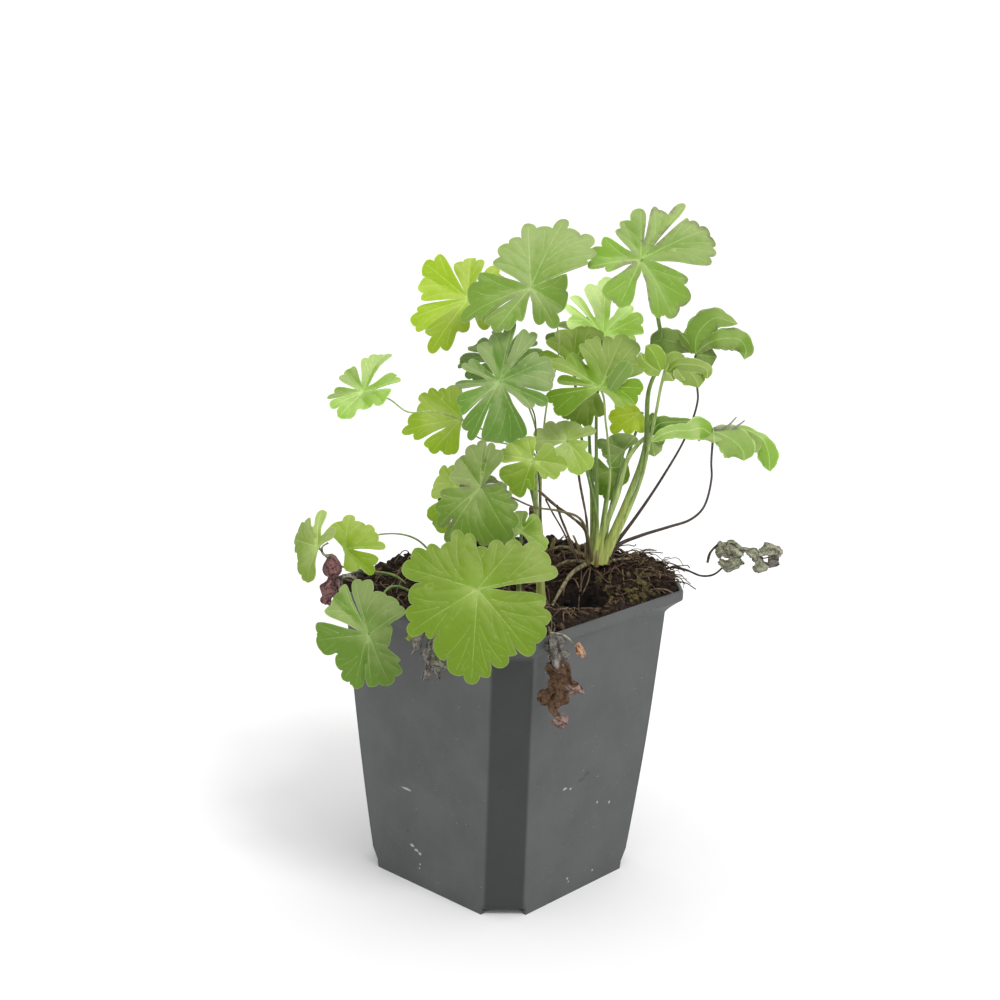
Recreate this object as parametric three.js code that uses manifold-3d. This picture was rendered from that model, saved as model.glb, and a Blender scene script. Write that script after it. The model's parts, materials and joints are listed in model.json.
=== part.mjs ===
// Hardy geranium (cranesbill) in a square nursery pot.
// Millimetres, +Z up. The origin is the centre of the pot's flat base.

import * as THREE from 'three';
import * as BufferGeometryUtils from 'three/addons/utils/BufferGeometryUtils.js';
import Module from 'manifold-3d';

const wasm = await Module();
wasm.setup();

// ---- Driving dimensions ---------------------------------------------------

const POT = {
  height: 100,
  rimHalf: 45,
  rimCorner: 6.3,
  rimDepth: 3.5,
  wallTopHalf: 41.9,
  wallTopHeight: 92.7,
  baseHalf: 34.6,
  corner: 8.8,
  footCorner: 10.6,
  footHeight: 2.5,
  wall: 1.2,
  floor: 1.5,
};
const DRAIN_HOLES = [
  { reach: 24, radius: 5, start: 45 },
  { reach: 21, radius: 2.8, start: 0 },
];
const DRAIN_SIDES = 9;

const CLEAR = 0.3;               // gap between solids that rest against each other
const PLANT_TURN = 42.5;         // degrees from the pot's faces to the plant's own frame
const BLADE = 0.7;               // leaf thickness
const STEM_SIDES = 5;
const STEM_PITCH = 18;           // length of one stem segment
const SOCKET_PLAY = 0.35;        // radial room round a stem in the crown or the soil

const SOIL = {
  edgeHeight: 98,
  spokes: 26,
  rings: 5,
  roughness: 0.8,
  // Heaps and hollows: [place in the plant's own frame, width, height].
  heaps: [[[26, 20], 22, 9], [[46, 2], 13, 5], [[-30, 18], 16, 4], [[20, -24], 11, -8]],
};
const PEAT_CHIPS = 10;
const PEAT_FIBRES = 6;
const FIBRE = 0.45;

// The plant's own frame turns with PLANT_TURN: x to the right and y to the back
// of the side that most leaves face. Crowns are the woody bases in the soil.
const CROWNS = [
  {
    name: 'crown_main', at: [30, 9, 102.5], size: [10.5, 9, 7.5], seed: 3,
    roots: [[[26, 6, 106], [21, -2, 106], [16, -10, 102], [14, -14, 97]]],
  },
  {
    name: 'crown_side', at: [13.5, 19, 101], size: [8.5, 7.5, 6.5], seed: 8,
    roots: [[[14, 18, 105], [6, 15, 106], [-2, 14, 100]]],
  },
];

// Leaf tones.
const FRESH = 0x85a83a;
const LIME = 0xaac83f;
const BLUISH = 0x78a05a;
const SAGE = 0x8fb065;
const PALE = 0xaec78a;
const DARK = 0x5f7f3c;

// Each leaf: knot is where the blade meets its stalk, faces is the bearing (0 is
// the plant's front, turning to the right) and the lift of its upper side. tips
// are [clock angle, reach] round the knot, clockwise from uphill. cuts are
// [clock angle, where it ends, degrees that it opens]; other tips are parted by
// a shallow notch.
const LEAVES = [
  {
    name: 'leaf_front_big', tone: FRESH, knot: [-9, -60, 117], faces: [2, 25], droop: 12,
    tips: [[100, 21], [111, 24], [125, 25], [140, 26], [148, 23], [161, 25], [172, 27], [-177, 29],
      [-166, 27], [-155, 24], [-136, 21], [-123, 25], [-110, 23], [-98, 21], [-74, 24], [-59, 23],
      [-48, 20], [-38, 17], [-21, 19], [-9, 17], [5, 13], [22, 16], [40, 19], [52, 23], [65, 24], [77, 25]],
    cuts: [[92, 3, 12]],
    base: [-12, -8, 94], via: [[-11, -30, 106]],
  },
  {
    name: 'leaf_left_low', tone: BLUISH, knot: [-43, -38, 94], faces: [-20, 30], droop: 18,
    tips: [[109, 8], [118, 14], [128, 17], [145, 18], [165, 17], [-173, 18], [-156, 17], [-142, 15],
      [-104, 18], [-88, 18], [-71, 18], [-55, 19], [-40, 20], [-27, 19], [-13, 18], [3, 14], [28, 14],
      [46, 14], [66, 8]],
    cuts: [[-80, 2, 13], [-35, 4, 3], [174, 9, 3], [-128, 12, 5]],
    base: [-26, -2, 94], via: [[-38, -20, 104]],
  },
  {
    name: 'leaf_left_bud', tone: LIME, knot: [-53, -11.5, 114], faces: [-25, 40], droop: 16,
    tips: [[98, 13], [117, 14], [134, 10], [-36, 11], [-14, 13], [10, 11], [33, 12], [54, 12], [73, 14]],
    cuts: [[84, 2, 12]],
    base: [-18, 10, 95], via: [[-42, -3, 117], [-30, 5, 113]],
  },
  {
    name: 'leaf_left_edge', tone: SAGE, knot: [-61, -20, 117], faces: [-50, 25], droop: 14,
    tips: [[33, 9], [-26, 13], [-51, 12], [-71, 14], [-92, 14], [-108, 12], [-122, 10], [-146, 11],
      [169, 12]],
    cuts: [[8, 4, 18], [-39, 7, 8]],
    base: [-30, 4, 94], via: [[-56, -10, 112], [-44, -2, 110]],
  },
  {
    name: 'leaf_yellow', tone: LIME, knot: [-15, 8, 194], faces: [-15, 35], droop: 12,
    tips: [[120, 12], [140, 13], [178, 12], [-166, 19], [-155, 22], [-140, 18], [-127, 20], [-113, 21],
      [-103, 18], [-94, 16], [-79, 18], [-54, 20], [-40, 18], [-24, 16], [-9, 17], [6, 15], [32, 15],
      [48, 14]],
    cuts: [[-33, 2.5, 7], [-101, 2.5, 5], [-134, 3, 4], [18, 4, 8], [158, 3, 14]],
    base: [13.5, 15.6, 102], via: [[-8, 13, 187], [2, 14, 167], [10, 14, 132]],
  },
  {
    name: 'leaf_top_left', tone: SAGE, knot: [5, -10, 201], faces: [-8, 35], droop: 14,
    tips: [[62, 20], [56, 24], [42, 27], [29, 25], [17, 28], [5, 24], [-8, 25], [-22, 19], [-37, 18],
      [-58, 15], [-76, 18], [-94, 21], [-116, 25], [-127, 20], [-136, 19], [-149, 19], [-161, 17],
      [-173, 13], [160, 13], [144, 16], [120, 13], [69, 12]],
    cuts: [[-68, 2.5, 10], [-131, 5, 3], [179, 2.5, 18], [65.5, 4, 3], [36, 15, 2], [-15, 6, 2]],
    base: [17, 16, 102], via: [[10, -3, 196], [16, 4, 180], [16, 11, 145]],
  },
  {
    name: 'leaf_small_left', tone: SAGE, knot: [-48, -4, 165], faces: [-20, 50], droop: 16,
    tips: [[146, 8], [118, 10], [84, 10], [68, 13], [55, 12], [1, 20], [-8, 18], [-18, 15], [-34, 11],
      [-48, 11], [-68, 10], [-95, 10], [-112, 12], [-140, 12], [-163, 13]],
    cuts: [[26, 2.5, 44], [77, 2.5, 6], [-122, 3, 7], [-82, 2, 8], [-27, 3, 8], [-150, 9, 5]],
    base: [8.4, 18, 102], via: [[-40, -4, 163], [-33, -10, 160], [-24, -13, 161], [-4, 2, 140]],
  },
  {
    name: 'leaf_left_yellow', tone: LIME, knot: [-16, 0, 156], faces: [-15, 25], droop: 12,
    tips: [[-29, 12], [-43, 13], [-53, 16], [-66, 18], [-80, 16], [-94, 19], [-107, 21], [-119, 17],
      [-132, 15], [-145, 15], [-160, 13]],
    cuts: [[-126, 5, 3]],
    base: [10, 15.6, 102],
  },
  {
    name: 'leaf_mid_left', tone: BLUISH, knot: [-4, -22, 173], faces: [-8, 30], droop: 14,
    tips: [[88, 16], [75, 18], [60, 18], [44, 16], [25, 21], [11, 21], [-9, 17], [-30, 14], [-53, 12],
      [-69, 14], [-96, 14], [-117, 14], [-143, 18], [-155, 20], [-170, 18], [177, 18], [166, 19], [153, 19]],
    cuts: [[-42, 2.5, 8], [35, 3, 13], [-162, 7, 2], [-130, 3, 3], [-84, 3, 12]],
    base: [23.4, 10.5, 105], via: [[5, -12, 152], [11, -4, 138], [17, 3, 126]],
  },
  {
    name: 'leaf_centre', tone: FRESH, knot: [28, -11, 170], faces: [5, 30], droop: 12,
    tips: [[134, 9], [116, 13], [89, 15], [60, 16], [38, 20], [24, 21], [11, 18], [-1, 17], [-12, 16],
      [-24, 15], [-40, 15], [-58, 18], [-82, 15], [-105, 18], [-122, 17]],
    cuts: [[-94, 4, 10], [-66, 3, 3], [-32, 4, 3], [6, 9, 2]],
    base: [30, 3.5, 105], via: [[30, -4, 164], [32, 0, 150], [32, 3, 130]],
  },
  {
    name: 'leaf_core_bright', tone: FRESH, knot: [20, 8, 173], faces: [0, 45], droop: 12,
    tips: [[-65, 12], [-36, 14], [-14, 17], [4, 18], [20, 18]],
    cuts: [[-50, 4, 4]],
    base: [26.6, 10.5, 105], via: [[22, 12, 147], [25, 12, 127]],
  },
  {
    name: 'leaf_core_dark', tone: DARK, knot: [28, 3, 166], faces: [0, 30], droop: 8,
    tips: [[-179, 9], [-165, 13], [-147, 14], [-130, 15]],
    cuts: [],
    base: [28.3, 7.2, 105],
  },
  {
    name: 'leaf_top_right', tone: SAGE, knot: [40, 1, 209.5], faces: [12, 35], droop: 18,
    tips: [[169, 21], [154, 22], [132, 21], [115, 17], [95, 23], [84, 26], [74, 28], [64, 28], [56, 26],
      [49, 24], [41, 27], [29, 20], [20, 20], [6, 18], [-22, 14], [-42, 12], [-62, 14], [-83, 17],
      [-98, 18], [-109, 13], [-134, 19], [-151, 19]],
    cuts: [[-119, 3, 10], [-174, 4, 24], [105, 3, 22], [45, 5, 3], [24.5, 5, 4], [-52, 3, 14]],
    base: [35.1, 7.2, 105], via: [[45, 5, 192], [48, 6, 175], [45, 7, 145]],
  },
  {
    name: 'leaf_pale_behind', tone: PALE, knot: [30, 23, 181], faces: [10, 40], droop: 12,
    tips: [[101, 11], [87, 14], [67, 15], [44, 17], [9, 25], [-4, 21], [-31, 18], [-42, 17], [-60, 13]],
    cuts: [[-36, 4, 4], [-18, 5, 10], [26, 6, 24], [54, 6, 6]],
    base: [28.3, 13.8, 105],
  },
  {
    name: 'leaf_right_upper', tone: BLUISH, knot: [59, 6, 179.5], faces: [25, 45], droop: 24,
    tips: [[158, 8], [118, 8], [101, 13], [83, 22], [60, 24], [41, 21], [-12, 8], [-34, 12], [-54, 13],
      [-76, 12]],
    cuts: [[109, 3, 6], [71, 2, 7], [-23, 3, 8]],
    base: [33.4, 10.5, 105], via: [[61, 4, 166], [60, 4, 155], [51, 7, 135], [39.5, 10.5, 117]],
  },
  {
    name: 'leaf_right_inner', tone: SAGE, knot: [49, -8, 176], faces: [20, 50], droop: 18,
    tips: [[152, 7], [128, 12], [100, 15], [60, 9], [23, 8], [-3, 10], [-46, 10], [-90, 9], [-120, 10],
      [-142, 8]],
    cuts: [[42, 3, 14], [114, 8, 6], [140, 5, 8]],
    base: [33.4, 4, 105], via: [[46, -4, 175], [44, -1, 160], [38, 3, 128]],
  },
  {
    name: 'leaf_right_low', tone: SAGE, knot: [64, -2, 155], faces: [15, 60], droop: 26,
    tips: [[-170, 7], [170, 8], [150, 16], [137, 19], [128, 24], [98, 19], [86, 15], [0, 6], [-50, 7],
      [-80, 17], [-96, 20]],
    cuts: [[160, 4, 16], [109, 5, 6], [-66, 4, 10]],
    base: [36.8, 10.5, 105], via: [[66, -1, 148], [66, 1, 134], [62, 3, 123], [50, 7, 116]],
  },
  {
    name: 'leaf_right_low_inner', tone: DARK, knot: [47, 15, 148], faces: [20, 40], droop: 14,
    tips: [[-169, 8], [162, 7], [128, 8], [75, 15], [57, 12], [36, 14], [15, 9]],
    cuts: [[100, 3, 20]],
    base: [38.6, 14, 103], via: [[45, 15, 130]],
  },
  {
    name: 'leaf_lower_mid', tone: BLUISH, knot: [-9, -38, 143], faces: [-20, 20], droop: 22,
    tips: [[106, 14], [122, 16], [137, 19], [150, 19], [163, 18], [-178, 18], [-148, 21], [-135, 19],
      [-119, 15], [-104, 12], [-40, 13], [-20, 12], [-1, 15], [14, 14]],
    cuts: [[-98, 3, 5], [-127, 5, 3], [-163, 8, 3]],
    base: [24.9, 7.2, 105], via: [[-4, -30, 139], [4, -22, 133], [14, -8, 127], [22, 2, 122]],
  },
  {
    name: 'leaf_centre_low', tone: LIME, knot: [7, -26, 149], faces: [0, 40], droop: 14,
    tips: [[148, 8], [132, 10], [98, 11], [57, 8], [-15, 9], [-48, 10], [-84, 11], [-122, 12], [-160, 13],
      [-177, 10]],
    cuts: [[-103, 3, 3], [166, 4, 24]],
    base: [12, 12.5, 101], via: [[8, -18, 140], [9, -5, 128]],
  },
  {
    name: 'leaf_pale_low', tone: PALE, knot: [18, -10, 152], faces: [8, 35], droop: 18,
    tips: [[158, 12], [144, 12], [99, 7], [74, 10], [35, 7], [-11, 7], [-45, 9], [-76, 11], [-92, 12],
      [-150, 9]],
    cuts: [[87, 3, 14]],
    base: [20.6, 17.6, 101], via: [[20, 4, 138]],
  },
  {
    name: 'leaf_yellow_behind', tone: LIME, knot: [44.5, 23, 155], faces: [10, 35], droop: 8,
    tips: [[-68, 10], [-99, 12], [-120, 13], [-138, 10], [-168, 8]],
    cuts: [],
    base: [31.7, 13.8, 105],
  },
  {
    name: 'leaf_inner_left', tone: DARK, knot: [38, 11, 144.5], faces: [10, 45], droop: 10,
    tips: [[42, 7], [-36, 7], [-64, 10], [-108, 8], [-138, 9]],
    cuts: [],
    base: [35, 13.8, 104.5],
  },
  {
    name: 'leaf_inner_low', tone: FRESH, knot: [35, 28, 133], faces: [10, 40], droop: 10,
    tips: [[128, 7], [43, 7], [-66, 8], [-110, 8], [-150, 10], [-166, 11]],
    cuts: [],
    base: [33, 17.5, 104],
  },
  {
    name: 'leaf_small_yellow', tone: LIME, knot: [-16, -22, 137], faces: [-30, 25], droop: 12,
    tips: [[-30, 9], [-47, 11], [-80, 10], [-101, 10], [-136, 14], [-153, 15]],
    cuts: [[-120, 5, 8]],
    base: [6, 22, 100],
  },
  {
    name: 'leaf_small_fresh', tone: FRESH, knot: [4, -34, 128], faces: [0, 45], droop: 12,
    tips: [[128, 10], [44, 7], [1, 8], [-53, 7], [-119, 8]],
    cuts: [[22, 3, 6], [-26, 3, 6]],
    base: [4, -10, 96],
  },
  {
    name: 'leaf_back_left', tone: BLUISH, knot: [-4, 31, 170], faces: [190, 40], droop: 16,
    tips: [[-140, 14], [-124, 15], [-92, 15], [-76, 16], [-42, 16], [-26, 17], [-4, 17], [12, 18], [34, 16],
      [50, 16], [80, 15], [98, 15], [126, 14], [142, 13]],
    cuts: [[-108, 4, 8], [-59, 4, 8], [-15, 4, 7], [23, 4, 7], [65, 4, 8], [112, 4, 8]],
    base: [13.5, 22.4, 100],
  },
  {
    name: 'leaf_back_mid', tone: FRESH, knot: [27, 42, 175], faces: [170, 45], droop: 18,
    tips: [[-142, 13], [-124, 15], [-94, 16], [-78, 16], [-44, 17], [-28, 17], [-6, 18], [11, 18], [33, 17],
      [51, 16], [78, 16], [95, 15], [125, 14], [140, 13]],
    cuts: [[-109, 5, 8], [-61, 4, 8], [-17, 4, 7], [22, 4, 7], [65, 4, 8], [110, 5, 8]],
    base: [24.9, 14, 105],
  },
  {
    name: 'leaf_back_low', tone: SAGE, knot: [-14, 40, 122], faces: [200, 50], droop: 18,
    tips: [[-140, 11], [-122, 12], [-92, 13], [-75, 14], [-42, 14], [-25, 14], [-5, 15], [12, 15], [34, 14],
      [51, 13], [80, 13], [97, 12], [124, 12], [141, 11]],
    cuts: [[-107, 4, 8], [-58, 3, 8], [-15, 3, 7], [23, 3, 7], [65, 3, 8], [110, 4, 8]],
    base: [9, 21, 100],
  },
];

// Dead growth: crumpled scraps of leaf on thin dry stalks. Each scrap is
// [route down its middle, width, seed].
const WITHERED = [
  {
    name: 'withered_brown', tone: 0x6a4527,
    stalk: [[12, -42, 95], [13, -48, 101.5], [13.5, -53.5, 101], [14.5, -55, 97]],
    scraps: [
      [[[14, -53.8, 101], [16, -55, 96], [17, -55, 91]], 8, 2],
      [[[14.5, -55, 97], [17, -55.5, 89], [15, -55, 82], [15, -54.5, 74]], 9, 5],
    ],
  },
  {
    name: 'withered_grey', tone: 0x77786a,
    stalk: [[-21, -30, 95], [-22, -37, 101.5], [-23, -42.5, 101.5], [-24, -44, 97]],
    scraps: [[[[-24, -44, 98], [-24, -45, 91], [-22, -44.5, 82]], 9, 11]],
  },
  {
    name: 'withered_spray', tone: 0x6f7355,
    stalk: [[46, 5, 102], [53, 3, 107], [60, 1, 106], [66, -1, 106], [72, -2, 109], [76, -2, 113], [82, -2, 113]],
    scraps: [
      [[[69, -2, 115], [74, -3, 115], [80, -2, 113]], 8, 4],
      [[[80, -2, 112], [86, -3, 113], [92, -2, 114]], 9, 9],
    ],
  },
];
const BUD = {
  name: 'dry_bud', tone: 0x7c4f45,
  at: [-54.3, -21.2, 108.3], size: [2.6, 2.6, 4.2],
  stalk: [[-42, -4, 94], [-44, -9, 102], [-49, -16, 104.5], [-53, -20.5, 107]],
  scraps: [[[[-54, -21, 106.5], [-55, -21.8, 101.5], [-56, -21.8, 96.5]], 5, 7]],
};

const CUP = 10;                  // degrees that a blade rises from its knot before it droops
const PLEAT = 0.1;               // how deep each tip folds along its rib
const WIDEST_LOBE = 38;          // half angle of a tip with no close neighbour
const OPEN_CUT = 0.14;           // the open side comes this near the knot
const SHALLOW_CUT = 0.87;        // a shallow notch ends at this share of the reach
const SHALLOW_GAPE = 3;          // degrees that it opens
const SIDE_REACH = 0.72;         // where the side of a deep cut is fully open
const ROUNDING = [0.62, 0.97];   // a tip's shoulder: share of its half width, of its reach
const RING_SHARE = 0.45;         // where the blade's inner ring lies
const STALK = { foot: 1.15, tip: 0.62 };
const ROOT = { foot: 1.5, tip: 0.9 };
const DRY_STALK = { foot: 0.6, tip: 0.5 };
const SCRAP_ROWS = 7;
const SCRAP_COLUMNS = 5;

// ---- Shared shape tools ---------------------------------------------------

const UP = new THREE.Vector3(0, 0, 1);
const rad = THREE.MathUtils.degToRad;

function spot([x, y, z]) {
  return new THREE.Vector3(x, y, z).applyAxisAngle(UP, rad(PLANT_TURN));
}

function seeded(seed) {
  let state = seed * 7919 + 17;
  return () => {
    state = (state * 48271) % 2147483647;
    return state / 2147483647;
  };
}

function closedGeometry(points, triangles) {
  const geometry = new THREE.BufferGeometry();
  const flat = points.flatMap((p) => [p.x, p.y, p.z]);
  geometry.setAttribute('position', new THREE.Float32BufferAttribute(flat, 3));
  let volume = 0;
  for (const [a, b, c] of triangles) {
    volume += points[a].dot(new THREE.Vector3().crossVectors(points[b], points[c]));
  }
  const outward = volume > 0 ? triangles : triangles.map(([a, b, c]) => [a, c, b]);
  geometry.setIndex(outward.flat());
  return geometry;
}

function solidOf(geometry) {
  const bare = new THREE.BufferGeometry();
  bare.setAttribute('position', geometry.getAttribute('position'));
  bare.setIndex(geometry.getIndex());
  const merged = BufferGeometryUtils.mergeVertices(bare);
  return new wasm.Manifold(new wasm.Mesh({
    numProp: 3,
    vertProperties: Float32Array.from(merged.getAttribute('position').array),
    triVerts: Uint32Array.from(merged.getIndex().array),
  }));
}

// Drops any loose scrap that cutting has left.
function wholeOf(solid) {
  return solid.decompose().reduce((most, piece) => (piece.volume() > most.volume() ? piece : most));
}

function geometryOf(solid) {
  const { vertProperties, triVerts } = solid.getMesh();
  const geometry = new THREE.BufferGeometry();
  geometry.setAttribute('position', new THREE.Float32BufferAttribute(vertProperties, 3));
  geometry.setIndex(Array.from(triVerts));
  return geometry;
}

// Stacks loops of equally many points and closes both ends.
function loft(loops) {
  const count = loops[0].length;
  const points = loops.flat();
  const triangles = [];
  for (let level = 0; level + 1 < loops.length; level += 1) {
    for (let i = 0; i < count; i += 1) {
      const next = (i + 1) % count;
      const low = level * count;
      const high = low + count;
      triangles.push([low + i, low + next, high + next], [low + i, high + next, high + i]);
    }
  }
  const last = (loops.length - 1) * count;
  for (let i = 1; i + 1 < count; i += 1) {
    triangles.push([0, i + 1, i], [last, last + i, last + i + 1]);
  }
  return closedGeometry(points, triangles);
}

// A stalk that tapers along a smooth route.
function stalk(route, foot, tip) {
  const curve = new THREE.CatmullRomCurve3(route);
  const steps = Math.max(3, Math.round(curve.getLength() / STEM_PITCH));
  const frames = curve.computeFrenetFrames(steps);
  const loops = [];
  for (let step = 0; step <= steps; step += 1) {
    const share = step / steps;
    const centre = curve.getPointAt(share);
    const radius = THREE.MathUtils.lerp(foot, tip, Math.min(1, share * 1.6));
    const loop = [];
    for (let side = 0; side < STEM_SIDES; side += 1) {
      const turn = (2 * Math.PI * side) / STEM_SIDES;
      loop.push(centre.clone()
        .addScaledVector(frames.normals[step], radius * Math.cos(turn))
        .addScaledVector(frames.binormals[step], radius * Math.sin(turn)));
    }
    loops.push(loop);
  }
  return loft(loops);
}

// The room that a stalk needs in what it stands in.
function bedOf(route, foot, tip) {
  const below = route[0].clone().sub(route[1]).setLength(CLEAR).add(route[0]);
  return solidOf(stalk([below, ...route.slice(1)], foot + SOCKET_PLAY, tip + SOCKET_PLAY));
}

// Thickens an open sheet evenly to both sides of itself.
function slab(points, triangles, border, thickness) {
  const normals = points.map(() => new THREE.Vector3());
  for (const [a, b, c] of triangles) {
    const face = new THREE.Vector3().crossVectors(
      points[b].clone().sub(points[a]), points[c].clone().sub(points[a]));
    normals[a].add(face);
    normals[b].add(face);
    normals[c].add(face);
  }
  const top = points.map((p, i) => p.clone().addScaledVector(normals[i].normalize(), thickness / 2));
  const under = points.map((p, i) => p.clone().addScaledVector(normals[i], -thickness / 2));
  const count = points.length;
  const faces = [...triangles];
  for (const [a, b, c] of triangles) {
    faces.push([a + count, c + count, b + count]);
  }
  for (let i = 0; i < border.length; i += 1) {
    const here = border[i];
    const next = border[(i + 1) % border.length];
    faces.push([here, next, next + count], [here, next + count, here + count]);
  }
  return closedGeometry([...top, ...under], faces);
}

// ---- Leaves ---------------------------------------------------------------

// Tips in clock order from the leaf's open side, each with the cuts beside it.
function tipsOf(leaf) {
  const sorted = leaf.tips.map(([clock, reach]) => ({ clock, reach })).sort((a, b) => a.clock - b.clock);
  const ahead = (from, to) => (to - from + 360) % 360;
  const gaps = sorted.map((tip, i) => {
    const next = sorted[(i + 1) % sorted.length];
    const width = ahead(tip.clock, next.clock) || 360;
    const lower = Math.min(tip.reach, next.reach);
    const listed = leaf.cuts.find(([clock]) => ahead(tip.clock, clock) < width);
    const [clock, end, gape] = listed ?? [tip.clock + width / 2, SHALLOW_CUT * lower, SHALLOW_GAPE];
    return { width, turn: ahead(tip.clock, clock), end, gape, lower };
  });
  const open = gaps.reduce((most, gap, i) => (gap.width > gaps[most].width ? i : most), 0);
  if (gaps[open].width > 2 * WIDEST_LOBE) {
    gaps[open].end = OPEN_CUT * gaps[open].lower;
  }
  return sorted.map((_, k) => {
    const i = (open + 1 + k) % sorted.length;
    const before = gaps[(i - 1 + gaps.length) % gaps.length];
    const after = gaps[i];
    return {
      ...sorted[i],
      left: { half: Math.min(before.width - before.turn, WIDEST_LOBE), end: before.end, gape: before.gape },
      right: { half: Math.min(after.turn, WIDEST_LOBE), end: after.end, gape: after.gape },
    };
  });
}

// The blade as a flat fan of points in clock and reach, with its inner ring.
function bladePlan(leaf) {
  const ring = [];
  const edge = [];
  tipsOf(leaf).forEach(({ clock, reach, left, right }, i) => {
    const [rounding, shoulder] = ROUNDING;
    for (const [sign, side] of [[-1, left], [1, right]]) {
      const open = Math.min(side.gape / 2 / side.half, 0.45);
      const along = [
        { rib: 1, reach: side.end },
        { rib: 1 - open, reach: SIDE_REACH * reach },
        { rib: rounding * (1 - open), reach: shoulder * reach },
        { rib: 0, reach },
      ].filter((point, k) => k !== 1 || side.end < SIDE_REACH * reach);
      const points = along.map((point, k) => ({
        ...point, clock: clock + sign * point.rib * side.half, pace: i + 0.5 + sign * (0.48 - 0.16 * k),
      }));
      edge.push(...(sign < 0 ? points : points.reverse().slice(1)));
    }
    const inner = RING_SHARE * reach;
    ring.push({ clock: clock - left.half, reach: Math.min(0.8 * left.end, inner), rib: 1, pace: i });
    ring.push({ clock, reach: inner, rib: 0, pace: i + 0.5 });
    ring.push({ clock: clock + right.half, reach: Math.min(0.8 * right.end, inner), rib: 1, pace: i + 0.98 });
  });
  const needed = ring.filter((point, i) => {
    const [before, after] = [ring[(i - 1 + ring.length) % ring.length], ring[(i + 1) % ring.length]];
    return point.rib === 0 || point.reach < 0.9 * Math.max(before.reach, after.reach);
  });
  const apart = (list) => list.filter((point, i) => {
    const before = list[(i - 1 + list.length) % list.length];
    const turn = Math.abs(((point.clock - before.clock + 540) % 360) - 180);
    return turn > 0.5 || Math.abs(point.reach - before.reach) > 0.3;
  });
  return { ring: apart(needed), edge: apart(edge) };
}

// Bends the flat fan: each direction rises by the cup, then droops, and ribs lie low.
function bladeSheet(leaf) {
  const { ring, edge } = bladePlan(leaf);
  const [bearing, lift] = leaf.faces;
  const b = rad(bearing + PLANT_TURN);
  const l = rad(lift);
  const normal = new THREE.Vector3(Math.sin(b) * Math.cos(l), -Math.cos(b) * Math.cos(l), Math.sin(l));
  const uphill = new THREE.Vector3(-Math.sin(b) * Math.sin(l), Math.cos(b) * Math.sin(l), Math.cos(l));
  const across = new THREE.Vector3().crossVectors(uphill, normal);
  const knot = spot(leaf.knot);
  const cup = rad(CUP);
  const curl = (rad(leaf.droop) + cup) / Math.max(...leaf.tips.map(([, reach]) => reach));
  const bend = ({ clock, reach, rib }) => {
    const out = (Math.sin(curl * reach - cup) + Math.sin(cup)) / curl;
    const fall = (Math.cos(cup) - Math.cos(curl * reach - cup)) / curl;
    return knot.clone()
      .addScaledVector(across, out * Math.sin(rad(clock)))
      .addScaledVector(uphill, out * Math.cos(rad(clock)))
      .addScaledVector(normal, PLEAT * reach * (rib - 0.6) - fall);
  };
  const points = [knot.clone(), ...ring.map(bend), ...edge.map(bend)];
  const triangles = [];
  const first = 1 + ring.length;
  for (let i = 0; i < ring.length; i += 1) {
    triangles.push([0, 1 + ((i + 1) % ring.length), 1 + i]);
  }
  let i = 0;
  let j = 0;
  while (i < ring.length || j < edge.length) {
    const ringPace = i + 1 < ring.length ? ring[i + 1].pace : Infinity;
    const edgePace = j + 1 < edge.length ? edge[j + 1].pace : Infinity;
    const a = 1 + (i % ring.length);
    const c = first + (j % edge.length);
    if (j < edge.length && (edgePace <= ringPace || i === ring.length)) {
      triangles.push([a, first + ((j + 1) % edge.length), c]);
      j += 1;
    } else {
      triangles.push([a, 1 + ((i + 1) % ring.length), c]);
      i += 1;
    }
  }
  return { points, triangles, border: edge.map((_, k) => first + k), normal, knot };
}

function stalkRoute(leaf, normal, knot) {
  const foot = spot(leaf.base);
  if (leaf.via) {
    return [knot, ...leaf.via.map(spot), foot];
  }
  const span = knot.distanceTo(foot);
  const low = foot.clone().addScaledVector(UP, 0.4 * span);
  const high = knot.clone().addScaledVector(normal, -0.22 * span).addScaledVector(UP, -0.12 * span);
  return new THREE.CubicBezierCurve3(knot, high, low, foot).getPoints(4);
}

// ---- Dead growth ----------------------------------------------------------

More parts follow.
